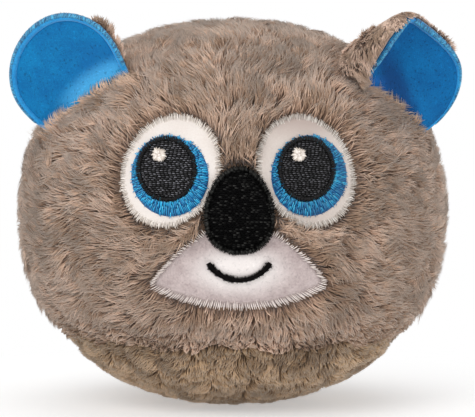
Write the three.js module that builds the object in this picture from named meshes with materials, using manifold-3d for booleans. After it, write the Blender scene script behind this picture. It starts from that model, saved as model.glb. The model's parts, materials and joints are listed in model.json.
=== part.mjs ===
// A ball-shaped plush koala with two sewn-on ears, in millimetres, +Z up, face towards -Y.
// Its origin is the middle of the flat that it stands on.

import * as THREE from "three";
import { mergeVertices } from "three/addons/utils/BufferGeometryUtils.js";
import Module from "manifold-3d";

const wasm = await Module();
wasm.setup();

// Stuffed body, measured over the fur
const bodyWidth = 104;
const bodyDepth = 98;
const bodyHeight = 92.9;
const bodyRoundness = 2.15; // exponent of the superellipsoid, 2 is an ellipsoid
const standDepth = 0.5; // how deep the foot of the ball is pressed flat
const basePileStep = 1; // the base panel's pile is this much shorter than the coat
const coatThickness = 8; // pile and backing cloth of each panel
const seamGap = 0.3;
const baseSeamHeight = 16;
const sideSeamForward = 14; // how far in front of the middle the face panel ends
const pelletPouchTop = 21;
const ballColumns = 40;
const ballRows = 24;
const fillColumns = 28;
const fillRows = 18;
const weldDistance = 0.003; // corners closer than this are one

// Appliques on the face: how far below the fur each layer lies
const patchClearance = 0.3;
const patchTop = 3.3;
const patchBottom = 4.1;
const borderTop = 2.6;
const irisTop = 2.6;
const threadBottom = 3;
const pupilTop = 2.3;
const glintTop = 1.6;
const glintBottom = 2;
const noseTop = 0.2;
const noseBottom = 2.3;
const noseRidgeDrop = 0.9; // the nose is this much lower round its stitched edge
const mouthTop = 2.5;
const ovalSteps = 30;
const glintSteps = 10;
const noseSteps = 32;
const mouthSteps = 12;

// Eyes, in the front view, from the middle line and half the body's height
const eyeSpacing = 30.8;
const eyeRise = 11.85;
const eyeLong = 26.3;
const eyeShort = 22;
const eyeLean = 28; // degrees that the tops lean towards the nose
const eyeBorder = 1.7;
const irisSpacing = 32;
const irisRise = 10.65;
const irisWidth = 17.4;
const irisHeight = 18.1;
const pupilShift = -0.7; // both pupils look a little to the left
const pupilRise = 12.2;
const pupilWidth = 13.7;
const pupilHeight = 15;
const glintWidth = 3.3;
const glintShift = -1.7;
const glintRise = 3.2;

// Nose, muzzle and mouth
const noseWidth = 16.5;
const noseHeight = 20.3;
const noseRise = 3.1;
const noseTaperShare = 0.17; // how much narrower the top is
const noseRoundness = 2.1;
const noseRidge = 1.1;
const muzzleWidth = 39.8;
const muzzleHeight = 22;
const muzzleRise = -19.8; // its lowest point
const muzzleBorder = 1.5;
const mouthWidth = 14.7;
const mouthSag = 4.15;
const mouthRise = -12.85;
const mouthThread = 1.25;

// Right half of the muzzle from its lowest point to its top, as shares of half its width and its height
const muzzleShares = [
  [0, 0], [0.32, 0.018], [0.6, 0.07], [0.83, 0.14], [0.96, 0.205], [1, 0.27],
  [0.92, 0.38], [0.76, 0.54], [0.58, 0.69], [0.38, 0.82], [0.2, 0.94], [0, 1],
];

// Ears: the two ends of the line where each is sewn in, as degrees round the body from the middle
// of the face and up from the ball's middle, and how far each end lies under the fur
const earInnerTurnDegrees = 48;
const earInnerLiftDegrees = 41.7;
const earInnerSink = 0;
const earOuterTurnDegrees = 70.35;
const earOuterLiftDegrees = 23.06;
const earOuterSink = 0.5;
const earRootDrop = 2; // how far the sewn line lies under these ends
const earHalfWidth = 15.3;
const earHeight = 23.1;
const earWidestAt = 9.8;
const earBaseShare = 0.86; // width at the sewn line
const earRimThickness = 1.9;
const earLiningStart = 4.2;
const earRimLift = 0.7; // of its underside over the middle of the ear
const earRimStart = 3.5; // height over the sewn line
const earLining = 0.9;
const earLayerGap = 0.5;
const earBackThickness = 2.6; // with its short pile
const earBackRootThickness = 1.1;
const earBackFullAt = 8; // height from which the back has its whole thickness
const earEdgeThicknessShare = 0.45; // of the back's thickness, left at its edge
const earEdgePower = 4; // the higher, the nearer to the edge the back thins
const earStraightUntil = 12; // the roll grows from the straight sewn line over this height
const earPocketRadius = 1.65;
const earPocketReach = 24;
const earPocketFront = 3; // clearance in front of the ear's middle surface
const earPocketBack = 3.6;
const earPocketSpare = 2.6;
const earPocketSteps = 8;
const earSlopeStep = 0.5; // distance over which an ear's slope is taken
const earArcSegments = 21; // along the curved edge
const earBaseSegments = 7; // along the sewn line
const earRings = 6;
const rimSteps = 26;
const rimSides = 6;

// Each ear: the way it points, its section from the inner to the outer edge (across, backwards),
// the place across where its top ends, how far its lining stays inside its outline, and
// the degrees that its pocket opens forwards and backwards
const ears = {
  left: {
    side: -1,
    outward: [0.5, 0, 0.86],
    section: [[-17.1, 0.4], [-9.5, 1.2], [-2.5, 1.5], [5.8, 1], [12.4, 0]],
    topAcross: -4,
    liningInset: 2.6,
    pocketForwards: 33,
    pocketBackwards: 27,
  },
  right: {
    side: 1,
    outward: [0.575, 0, 0.818],
    section: [[-13.4, -7], [-15.4, -2.8], [-13.3, 1.6], [-7, 4.2], [3.4, 3.2], [13.6, 1]],
    topAcross: -6,
    liningInset: 3.7,
    pocketForwards: 36,
    pocketBackwards: 38,
  },
};

const finishes = {
  coat: { color: 0xa59387, roughness: 0.95 },
  baseCloth: { color: 0x96826c, roughness: 0.95 },
  fill: { color: 0xf2f0ea, roughness: 1 },
  pouch: { color: 0xd8d4c8, roughness: 0.8 },
  white: { color: 0xf1eeec, roughness: 0.6 },
  blue: { color: 0x1f78be, roughness: 0.55 },
  black: { color: 0x17171a, roughness: 0.5 },
  muzzle: { color: 0xe6d9d6, roughness: 0.7 },
  earBlue: { color: 0x2a83c2, roughness: 0.85 },
  earRim: { color: 0x4f9cd6, roughness: 0.85 },
};

// Closed mesh with merged corners, made a solid
function solid(geometry) {
  const bare = geometry.clone();
  bare.deleteAttribute("normal");
  bare.deleteAttribute("uv");
  const merged = mergeVertices(bare, weldDistance);
  const vertProperties = new Float32Array(merged.attributes.position.array);
  const triVerts = new Uint32Array(merged.index.array);
  return new wasm.Manifold(new wasm.Mesh({ numProp: 3, vertProperties, triVerts }));
}

function named(name, shape, finish) {
  const cut = shape.getMesh();
  const geometry = new THREE.BufferGeometry();
  geometry.setAttribute("position", new THREE.BufferAttribute(cut.vertProperties, cut.numProp));
  geometry.setIndex(new THREE.BufferAttribute(cut.triVerts, 1));
  geometry.computeVertexNormals();
  const mesh = new THREE.Mesh(geometry, new THREE.MeshStandardMaterial({ metalness: 0, ...finish }));
  mesh.name = name;
  return mesh;
}

// Body form
const halfWidth = bodyWidth / 2;
const halfDepth = bodyDepth / 2;
const halfHeight = (bodyHeight + standDepth + basePileStep) / 2;
const ballCentre = halfHeight - standDepth - basePileStep;

function reach(way) {
  const sum = (Math.abs(way.x) / halfWidth) ** bodyRoundness
    + (Math.abs(way.y) / halfDepth) ** bodyRoundness
    + (Math.abs(way.z) / halfHeight) ** bodyRoundness;
  return sum ** (-1 / bodyRoundness);
}

// Place on the right half of the body, turned from the face and lifted from the ball's middle
function onBody(turn, lift, sink) {
  const round = THREE.MathUtils.degToRad(turn);
  const rise = THREE.MathUtils.degToRad(lift);
  const way = new THREE.Vector3(
    Math.sin(round) * Math.cos(rise),
    -Math.cos(round) * Math.cos(rise),
    Math.sin(rise),
  );
  way.multiplyScalar(reach(way) - sink);
  way.z += ballCentre;
  return way;
}

// The body's form, drawn in by a depth all over, about the ball's middle
function ball(depth, columns = ballColumns, rows = ballRows) {
  const geometry = new THREE.SphereGeometry(1, columns, rows);
  geometry.rotateX(Math.PI / 2);
  const points = geometry.attributes.position;
  const way = new THREE.Vector3();
  for (let i = 0; i < points.count; i += 1) {
    way.fromBufferAttribute(points, i).normalize();
    way.multiplyScalar(reach(way) - depth);
    points.setXYZ(i, way.x, way.y, way.z + ballCentre);
  }
  return solid(geometry);
}

function block(low, high) {
  const size = high.clone().sub(low);
  const geometry = new THREE.BoxGeometry(size.x, size.y, size.z);
  const middle = low.clone().add(high).multiplyScalar(0.5);
  geometry.translate(middle.x, middle.y, middle.z);
  return solid(geometry);
}

const beyond = bodyWidth; // reaches past every face of the body
const above = (height) => block(new THREE.Vector3(-beyond, -beyond, height),
  new THREE.Vector3(beyond, beyond, height + 2 * beyond));
const below = (height) => block(new THREE.Vector3(-beyond, -beyond, height - 2 * beyond),
  new THREE.Vector3(beyond, beyond, height));
const inFrontOf = (y) => block(new THREE.Vector3(-beyond, y - 2 * beyond, -beyond),
  new THREE.Vector3(beyond, y, 2 * beyond));
const behind = (y) => block(new THREE.Vector3(-beyond, y, -beyond),
  new THREE.Vector3(beyond, y + 2 * beyond, 2 * beyond));
const leftOf = (x) => block(new THREE.Vector3(x - 2 * beyond, -beyond, -beyond),
  new THREE.Vector3(x, beyond, 2 * beyond));
const rightOf = (x) => block(new THREE.Vector3(x, -beyond, -beyond),
  new THREE.Vector3(x + 2 * beyond, beyond, 2 * beyond));

// Front-view outlines, as points from the middle line and half the body's height
function ellipse(x, z, width, height, lean = 0, count = ovalSteps) {
  const turn = THREE.MathUtils.degToRad(lean);
  const centre = new THREE.Vector2();
  return Array.from({ length: count }, (_, i) => {
    const angle = (i / count) * 2 * Math.PI;
    const point = new THREE.Vector2((Math.cos(angle) * width) / 2, (Math.sin(angle) * height) / 2);
    return point.rotateAround(centre, turn).add(new THREE.Vector2(x, z));
  });
}

function noseOutline(inset, count = noseSteps) {
  const power = 2 / noseRoundness;
  return Array.from({ length: count }, (_, i) => {
    const angle = (i / count) * 2 * Math.PI;
    const across = Math.sign(Math.cos(angle)) * Math.abs(Math.cos(angle)) ** power;
    const up = Math.sign(Math.sin(angle)) * Math.abs(Math.sin(angle)) ** power;
    const half = (noseWidth / 2 - inset) * (1 - noseTaperShare * up);
    return new THREE.Vector2(across * half, noseRise + up * (noseHeight / 2 - inset));
  });
}

function muzzleOutline(inset) {
  const right = muzzleShares.map(([across, up]) => new THREE.Vector2(
    across * (muzzleWidth / 2 - inset),
    muzzleRise + inset + up * (muzzleHeight - 2 * inset),
  ));
  const left = right.slice(1, -1).reverse().map((p) => new THREE.Vector2(-p.x, p.y));
  return [...right, ...left];
}

function mouthOutline(count = mouthSteps) {
  const half = mouthWidth / 2;
  const radius = (half ** 2 + mouthSag ** 2) / (2 * mouthSag);
  const reachAngle = Math.asin(half / radius);
  const arc = (r, i) => {
    const angle = -reachAngle + (i / count) * 2 * reachAngle;
    return new THREE.Vector2(r * Math.sin(angle), mouthRise + radius - r * Math.cos(angle));
  };
  const steps = Array.from({ length: count + 1 }, (_, i) => i);
  const lower = steps.map((i) => arc(radius + mouthThread / 2, i));
  const upper = steps.map((i) => arc(radius - mouthThread / 2, i)).reverse();
  return [...lower, ...upper];
}

// A cutter with a front-view outline, from the body's middle out past its front
function through(outline) {
  const geometry = new THREE.ExtrudeGeometry(new THREE.Shape(outline), {
    depth: bodyDepth, bevelEnabled: false, steps: 1,
  });
  geometry.rotateX(Math.PI / 2);
  geometry.translate(0, 0, bodyHeight / 2);
  return solid(geometry);
}

// What lies under an outline between two depths below the fur
function layer(cutter, top, bottom) {
  return cutter.intersect(ball(top)).subtract(ball(bottom));
}

function eyeParts(name, side) {
  const lean = side * eyeLean;
  const x = (side * eyeSpacing) / 2;
  const outline = (inset) => through(
    ellipse(x, eyeRise, eyeShort - 2 * inset, eyeLong - 2 * inset, lean),
  );
  const pupilAt = (side * irisSpacing) / 2 + pupilShift;
  const pupil = (grow) => through(
    ellipse(pupilAt, pupilRise, pupilWidth + 2 * grow, pupilHeight + 2 * grow),
  );
  const iris = through(ellipse((side * irisSpacing) / 2, irisRise, irisWidth, irisHeight));
  const glint = through(
    ellipse(pupilAt + glintShift, pupilRise + glintRise, glintWidth, glintWidth, 0, glintSteps),
  );
  const border = outline(0).subtract(outline(eyeBorder));
  return {
    pocket: outline(-patchClearance),
    meshes: [
      named(`eye_patch_${name}`, layer(outline(eyeBorder + patchClearance), patchTop, patchBottom),
        finishes.white),
      named(`eye_border_${name}`, layer(border, borderTop, patchBottom), finishes.white),
      named(`iris_${name}`, layer(iris.subtract(pupil(patchClearance)), irisTop, threadBottom),
        finishes.blue),
      named(`pupil_${name}`, layer(pupil(0), pupilTop, threadBottom), finishes.black),
      named(`eye_glint_${name}`, layer(glint, glintTop, glintBottom), finishes.white),
    ],
  };
}

function muzzleParts() {
  const outline = (inset) => through(muzzleOutline(inset));
  const border = outline(0).subtract(outline(muzzleBorder));
  const ridge = layer(through(noseOutline(0)), noseTop + noseRidgeDrop, noseBottom);
  const dome = layer(through(noseOutline(noseRidge)), noseTop, noseBottom);
  return {
    pocket: outline(-patchClearance),
    nosePocket: through(noseOutline(-patchClearance)),
    meshes: [
      named("muzzle_patch", layer(outline(muzzleBorder + patchClearance), patchTop, patchBottom),
        finishes.muzzle),
      named("muzzle_border", layer(border, borderTop, patchBottom), finishes.muzzle),
      named("mouth", layer(through(mouthOutline()), mouthTop, threadBottom), finishes.black),
      named("nose", ridge.add(dome), finishes.black),
    ],
  };
}

// Share of an ear's greatest half width at a height over its sewn line
function earWidthShare(height, inset = 0) {
  if (height < earWidestAt) {
    return earBaseShare + (1 - earBaseShare) * Math.sin((Math.PI / 2) * (height / earWidestAt));
  }
  const over = (height - earWidestAt) / (earHeight - inset - earWidestAt);
  return Math.sqrt(Math.max(0, 1 - over * over));
}

// Flat outline of an ear, from the outer end of its base over its top to the inner end
function earOutline(inset, start = inset) {
  const half = earHalfWidth - inset;
  const arc = Array.from({ length: earArcSegments + 1 }, (_, i) => {
    const way = (i / earArcSegments) * 2 - 1;
    const share = 1 - Math.abs(way);
    const rise = start + Math.sin((Math.PI / 2) * share) * (earHeight - inset - start);
    return new THREE.Vector2(-Math.sign(way) * half * earWidthShare(rise, inset), rise);
  });
  const base = Array.from({ length: earBaseSegments - 1 }, (_, i) => {
    const share = (i + 1) / earBaseSegments;
    return new THREE.Vector2().lerpVectors(arc[earArcSegments], arc[0], share);
  });
  return [...arc, ...base];
}

// Place on an ear's middle surface: x across (inner to outer), y backwards, z outwards
function earSurface(ear, across, height) {
  const share = Math.max(earWidthShare(height), earLayerGap / earHalfWidth);
  const along = THREE.MathUtils.clamp(across / (earHalfWidth * share), -1, 1);
  const at = ear.curve.getPointAt((along + 1) / 2);
  const roll = THREE.MathUtils.smoothstep(height, 0, earStraightUntil);
  return new THREE.Vector3(
    ear.topAcross + share * (at.x - ear.topAcross),
    roll * share * share * at.y,
    height,
  );
}

// The same, moved square to the surface: towards the front when the distance is over zero
function earOffset(ear, across, height, distance) {
  const step = earSlopeStep;
  const inX = Math.abs(across) < step ? 0 : -Math.sign(across) * step;
  const here = earSurface(ear, across, height);
  const side = earSurface(ear, across + (inX || step), height).sub(here);
  if (inX < 0) side.negate();
  const up = earSurface(ear, across, Math.max(height - step, 0)).sub(
    earSurface(ear, across, Math.max(height - step, 0) + step),
  ).negate();
  const front = new THREE.Vector3(side.x, side.y, 0).normalize().cross(up.normalize()).normalize();
  return here.addScaledVector(front, distance);
}

// A sheet of an ear between two distances from its middle surface, each a function of the place
function earSheet(ear, outline, frontAt, backAt) {
  const middle = new THREE.Vector2(0, earWidestAt);
  const positions = [];
  const faces = [];
  const count = outline.length;
  [frontAt, backAt].forEach((distanceAt) => {
    const start = earOffset(ear, middle.x, middle.y, distanceAt(0, middle.y));
    positions.push(start);
    for (let ring = 1; ring <= earRings; ring += 1) {
      outline.forEach((edge) => {
        const flat = new THREE.Vector2().lerpVectors(middle, edge, ring / earRings);
        positions.push(earOffset(ear, flat.x, flat.y, distanceAt(ring / earRings, flat.y)));
      });
    }
  });
  const half = 1 + count * earRings;
  const at = (layerStart, ring, i) => layerStart + 1 + (ring - 1) * count + (i % count);
  for (let i = 0; i < count; i += 1) {
    faces.push([0, at(0, 1, i), at(0, 1, i + 1)], [half, at(half, 1, i + 1), at(half, 1, i)]);
    for (let ring = 1; ring < earRings; ring += 1) {
      faces.push([at(0, ring, i), at(0, ring + 1, i), at(0, ring + 1, i + 1)]);
      faces.push([at(0, ring, i), at(0, ring + 1, i + 1), at(0, ring, i + 1)]);
      faces.push([at(half, ring, i), at(half, ring + 1, i + 1), at(half, ring + 1, i)]);
      faces.push([at(half, ring, i), at(half, ring, i + 1), at(half, ring + 1, i + 1)]);
    }
    faces.push([at(0, earRings, i), at(half, earRings, i), at(half, earRings, i + 1)]);
    faces.push([at(0, earRings, i), at(half, earRings, i + 1), at(0, earRings, i + 1)]);
  }
  return earSolid(ear, positions, faces);
}

// Mirrors a right-hand build for the left ear and turns its faces out again
function earSolid(ear, positions, faces) {
  const flip = ear.side < 0;
  const geometry = new THREE.BufferGeometry();
  const numbers = positions.flatMap((p) => [ear.side * p.x, p.y, p.z]);
  const order = faces.flatMap(([a, b, c]) => (flip ? [a, c, b] : [a, b, c]));
  geometry.setAttribute("position", new THREE.Float32BufferAttribute(numbers, 3));
  geometry.setIndex(order);
  return solid(geometry);
}

// The stuffed roll round the ear's edge, which starts where the ear leaves the fur, or the room it needs
function earRim(ear, room = 0) {
  const seated = earRimThickness / 2;
  const radius = seated + room;
  const inset = seated + earLayerGap / 2;
  const edge = earOutline(inset).slice(0, earArcSegments + 1);
  const start = room > 0 ? 0 : earRimStart;
  const points = edge.filter((flat) => flat.y > start).map((flat) => {
    const point = earOffset(ear, flat.x, flat.y, earRimLift + seated);
    return new THREE.Vector3(ear.side * point.x, point.y, point.z);
  });
  const section = new THREE.Shape(
    Array.from({ length: rimSides }, (_, i) => {
      const angle = (i / rimSides) * 2 * Math.PI;
      return new THREE.Vector2(Math.cos(angle) * radius, Math.sin(angle) * radius);
    }),
  );
  const path = new THREE.CatmullRomCurve3(points);
  return solid(new THREE.ExtrudeGeometry(section, { steps: rimSteps, extrudePath: path }));
}

// The wedge that an ear swings in, round its sewn line
function earPocket(ear) {
  const forwards = THREE.MathUtils.degToRad(ear.pocketForwards);
  const backwards = THREE.MathUtils.degToRad(ear.pocketBackwards);
  const centre = new THREE.Vector2();
  const flank = (away, angle) => [earPocketReach, 0].map(
    (out) => new THREE.Vector2(away, out).rotateAround(centre, angle),
  );
  const outline = flank(-earPocketFront, forwards);
  for (let i = 0; i <= earPocketSteps; i += 1) {
    const angle = Math.PI + (i / earPocketSteps) * Math.PI;
    outline.push(new THREE.Vector2(
      earPocketRadius * Math.cos(angle), earPocketRadius * Math.sin(angle),
    ));
  }
  outline.push(...flank(earPocketBack, -backwards).reverse());
  const length = 2 * (earHalfWidth + earPocketSpare);
  const geometry = new THREE.ExtrudeGeometry(new THREE.Shape(outline), {
    depth: length, bevelEnabled: false, steps: 1,
  });
  geometry.translate(0, 0, -length / 2);
  // the outline's (backwards, outwards) become Y and Z, and its length lies along X
  geometry.applyMatrix4(new THREE.Matrix4().makeBasis(
    new THREE.Vector3(0, 1, 0), new THREE.Vector3(0, 0, 1), new THREE.Vector3(1, 0, 0),
  ));
  return geometry;
}

// A group at the middle of the sewn line: X along it to the viewer's right, Y backwards, Z outwards
function earFrame(ear) {
  const mirrored = (v) => new THREE.Vector3(ear.side * v.x, v.y, v.z);
  const inner = mirrored(onBody(earInnerTurnDegrees, earInnerLiftDegrees, earInnerSink));
  const outer = mirrored(onBody(earOuterTurnDegrees, earOuterLiftDegrees, earOuterSink));
  const along = outer.clone().sub(inner).multiplyScalar(ear.side).normalize();
  const rough = mirrored(new THREE.Vector3(...ear.outward));
  const outward = rough.addScaledVector(along, -rough.dot(along)).normalize();
  const backward = new THREE.Vector3().crossVectors(outward, along);
  const frame = new THREE.Group();
  frame.setRotationFromMatrix(new THREE.Matrix4().makeBasis(along, backward, outward));
  frame.position.copy(inner).add(outer).multiplyScalar(0.5);
  frame.position.addScaledVector(outward, -earRootDrop);
  frame.updateMatrixWorld();
  return frame;
}

function earBackDepth(ringShare, height) {
  const grown = THREE.MathUtils.smoothstep(height, 0, earBackFullAt);
  const full = THREE.MathUtils.lerp(earBackRootThickness, earBackThickness, grown);
  const edge = 1 - (1 - earEdgeThicknessShare) * ringShare ** earEdgePower;
  return -earLayerGap / 2 - Math.max(full * edge, earBackRootThickness);
}

function earParts(name, settings) {
  const ear = { ...settings };
  ear.curve = new THREE.CatmullRomCurve3(ear.section.map(([x, y]) => new THREE.Vector3(x, y, 0)));
  const front = earLayerGap / 2;
  const outline = earOutline(ear.liningInset, earLiningStart);
  const lining = earSheet(ear, outline, () => front + earLining, () => front)
    .subtract(earRim(ear, patchClearance));
  const back = earSheet(ear, earOutline(0), () => -front, earBackDepth);
  const frame = earFrame(ear);
  frame.add(
    named(`ear_lining_${name}`, lining, finishes.earBlue),
    named(`ear_rim_${name}`, earRim(ear), finishes.earRim),
    named(`ear_back_${name}`, back, finishes.coat),
  );
  const pocket = earPocket(ear);
  pocket.applyMatrix4(frame.matrixWorld);
  return { frame, pocket: solid(pocket) };
}

// Assembly
const koala = new THREE.Group();
koala.name = "plush_koala";

const eyes = [eyeParts("left", -1), eyeParts("right", 1)];
const muzzle = muzzleParts();
const earSets = Object.entries(ears).map(([name, settings]) => earParts(name, settings));

const coat = ball(0).subtract(ball(coatThickness, fillColumns, fillRows));
const upper = coat.subtract(below(baseSeamHeight + seamGap / 2));
let face = upper.subtract(behind(-sideSeamForward - seamGap / 2));
let rear = upper.subtract(inFrontOf(-sideSeamForward + seamGap / 2));

const patchPocket = eyes.reduce((sum, eye) => sum.add(eye.pocket), muzzle.pocket);
face = face.subtract(patchPocket.subtract(ball(patchBottom + patchClearance)));
face = face.subtract(muzzle.nosePocket.subtract(ball(noseBottom + patchClearance)));
earSets.forEach((ear) => {
  face = face.subtract(ear.pocket);
  rear = rear.subtract(ear.pocket);
});

const baseCoat = ball(basePileStep).subtract(ball(coatThickness, fillColumns, fillRows));
const base = baseCoat.subtract(above(baseSeamHeight - seamGap / 2)).subtract(below(0));

const inside = ball(coatThickness + patchClearance, fillColumns, fillRows);

koala.add(
  named("face_panel", face, finishes.coat),
  named("back_panel_left", rear.subtract(rightOf(-seamGap / 2)), finishes.coat),
  named("back_panel_right", rear.subtract(leftOf(seamGap / 2)), finishes.coat),
  named("base_panel", base, finishes.baseCloth),
  named("fibre_filling", inside.subtract(below(pelletPouchTop + seamGap / 2)), finishes.fill),
  named("pellet_pouch", inside.subtract(above(pelletPouchTop - seamGap / 2)), finishes.pouch),
  ...eyes.flatMap((eye) => eye.meshes),
  ...muzzle.meshes,
  ...earSets.map((ear) => ear.frame),
);

export default koala;
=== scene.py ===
"""Looks of a ball-shaped plush koala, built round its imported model. Metres, +Z up, face towards -Y."""

import json
import logging
import math
from collections.abc import Iterator
from contextlib import contextmanager
from dataclasses import dataclass, field, replace
from enum import Enum

import bpy
import numpy as np
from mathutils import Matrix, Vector, kdtree

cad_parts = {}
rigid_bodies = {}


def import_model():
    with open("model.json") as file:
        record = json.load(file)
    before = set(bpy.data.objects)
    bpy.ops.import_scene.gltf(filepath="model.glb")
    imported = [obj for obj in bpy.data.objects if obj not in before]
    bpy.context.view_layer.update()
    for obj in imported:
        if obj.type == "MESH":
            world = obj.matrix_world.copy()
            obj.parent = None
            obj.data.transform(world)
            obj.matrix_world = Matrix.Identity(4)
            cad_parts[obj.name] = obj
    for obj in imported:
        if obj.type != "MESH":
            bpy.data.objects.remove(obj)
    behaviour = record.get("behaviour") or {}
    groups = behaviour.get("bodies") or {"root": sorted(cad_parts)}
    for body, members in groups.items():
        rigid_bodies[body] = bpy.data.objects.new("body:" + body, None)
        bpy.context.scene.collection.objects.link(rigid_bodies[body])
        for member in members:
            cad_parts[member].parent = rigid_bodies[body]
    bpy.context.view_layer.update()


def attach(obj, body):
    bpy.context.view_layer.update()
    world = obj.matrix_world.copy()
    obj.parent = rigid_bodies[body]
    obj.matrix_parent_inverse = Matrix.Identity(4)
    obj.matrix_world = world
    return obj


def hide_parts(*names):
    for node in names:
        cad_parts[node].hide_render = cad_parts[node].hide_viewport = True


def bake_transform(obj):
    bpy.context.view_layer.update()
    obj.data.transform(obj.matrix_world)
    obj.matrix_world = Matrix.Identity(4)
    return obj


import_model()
LOG = logging.getLogger("koala")

Array = np.ndarray
Piece = bpy.types.Object
Material = bpy.types.Material
Socket = bpy.types.NodeSocket
Pair = tuple[float, float]
Triple = tuple[float, float, float]
Colour = Triple


class Body(Enum):
    """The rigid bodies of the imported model."""

    TRUNK = "body"
    EAR_LEFT = "ear_left"
    EAR_RIGHT = "ear_right"


class Side(Enum):
    """Sides as someone sees them who looks at the face."""

    LEFT = -1
    RIGHT = 1

    @property
    def word(self) -> str:
        """The side's word in node names."""
        return self.name.lower()


class Coat(Enum):
    """The sewn panels of the coat."""

    FACE = "face_panel"
    BACK_LEFT = "back_panel_left"
    BACK_RIGHT = "back_panel_right"
    BASE = "base_panel"


# Sums that the rest shares


def unit(rows: Array) -> Array:
    """Rows of vectors at length one."""
    return rows / np.maximum(np.linalg.norm(rows, axis=-1, keepdims=True), 1e-12)


def ease(values: Array, low: float, high: float) -> Array:
    """Smooth step from 0 at low to 1 at high."""
    share = np.clip((np.asarray(values) - low) / (high - low), 0, 1)
    return share * share * (3 - 2 * share)


def between(at: Array, known: Array, rows: Array) -> Array:
    """Rows read at places between the known ones."""
    return np.stack([np.interp(at, known, column) for column in rows.T], axis=1)


def lay(ways: Array, normals: Array) -> Array:
    """Ways without what points out of the cloth."""
    return ways - (ways * normals).sum(axis=1, keepdims=True) * normals


def swing(ways: Array, normals: Array, angle: Array) -> Array:
    """Ways turned on the cloth, each by its angle in radians."""
    return ways * np.cos(angle)[:, None] + np.cross(normals, ways) * np.sin(angle)[:, None]


def lines(start: Array, end: Array, share: Array) -> Array:
    """Points at shares of the way from each start to its end."""
    return start[:, None] * (1 - share)[None, :, None] + end[:, None] * share[None, :, None]


def wander(points: Array, length: float, seed: int) -> Array:
    """Slow, repeatable noise over space.

    Args:
        points: places, one per row.
        length: about the distance from one crest to the next.
        seed: picks one of many patterns.

    Returns:
        One value from about -1 to 1 for each place.
    """
    rng = np.random.default_rng(seed)
    waves = 7
    ways = unit(rng.normal(size=(waves, 3))) * rng.uniform(0.7, 1.4, (waves, 1))
    phases = rng.uniform(0, 2 * math.pi, waves)
    return np.sin(points @ ways.T * (2 * math.pi / length) + phases).sum(axis=1) / 3


# Finishes


class Nodes:
    """Short way to build one node tree."""

    def __init__(self, tree: bpy.types.NodeTree) -> None:
        """Starts with an empty tree."""
        self.tree = tree
        tree.nodes.clear()

    def feed(self, node: bpy.types.Node, inputs: dict[str | int, object]) -> None:
        """Fills inputs of a node.

        Args:
            node: the node.
            inputs: for each input, a socket to join or a value to set.
        """
        for key, value in inputs.items():
            if isinstance(value, Socket):
                self.tree.links.new(value, node.inputs[key])
            else:
                node.inputs[key].default_value = value

    def add(self, kind: str, inputs: dict[str | int, object] | None = None, **settings: object) -> bpy.types.Node:
        """Adds a node.

        Args:
            kind: the node's type.
            inputs: what goes into it, as feed takes it.
            settings: its properties.

        Returns:
            The new node.
        """
        node = self.tree.nodes.new(kind)
        for key, value in settings.items():
            setattr(node, key, value)
        self.feed(node, inputs or {})
        return node

    def place(self) -> Socket:
        """Object coordinates."""
        return self.add("ShaderNodeTexCoord").outputs["Object"]

    def ramp(self, source: Socket, stops: list[tuple[float, Colour]]) -> Socket:
        """Colours a value.

        Args:
            source: the value.
            stops: places and colours, in order.

        Returns:
            The colour.
        """
        node = self.add("ShaderNodeValToRGB", {0: source})
        band = node.color_ramp
        while len(band.elements) < len(stops):
            band.elements.new(0.5)
        for element, (place, colour) in zip(band.elements, stops):
            element.position = place
            element.color = (*colour, 1)
        return node.outputs[0]

    def mix(self, kind: str, share: float | Socket, one: Socket, two: Socket | tuple[float, ...]) -> Socket:
        """Mixes a second colour into the first, by a blend type and a share."""
        return self.add("ShaderNodeMix", {0: share, 6: one, 7: two}, data_type="RGBA", blend_type=kind).outputs[2]

    def noise(self, scale: float, detail: float) -> Socket:
        """Noise on Object coordinates, with so many crests per metre."""
        return self.add("ShaderNodeTexNoise", {"Scale": scale, "Detail": detail, "Vector": self.place()}).outputs[0]

    def step(self, vector: Socket, start: float, end: float, most: float = 1.0) -> Socket:
        """Smooth step over a vector's length.

        Args:
            vector: the vector.
            start: length at which the step starts.
            end: length at which it ends.
            most: what it rises to.

        Returns:
            The step's value.
        """
        length = self.add("ShaderNodeVectorMath", {0: vector}, operation="LENGTH").outputs["Value"]
        inputs = {"Value": length, "From Min": start, "From Max": end, "To Max": most}
        return self.add("ShaderNodeMapRange", inputs, interpolation_type="SMOOTHSTEP").outputs[0]

    def seen(self) -> Socket:
        """Tells rays that the camera sees from others.

        Returns:
            One for camera, glossy and transmission rays.
        """
        rays = self.add("ShaderNodeLightPath").outputs
        first = self.add("ShaderNodeMath", {0: rays["Is Camera Ray"], 1: rays["Is Glossy Ray"]}, operation="MAXIMUM")
        both = {0: first.outputs[0], 1: rays["Is Transmission Ray"]}
        return self.add("ShaderNodeMath", both, operation="MAXIMUM").outputs[0]


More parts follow.
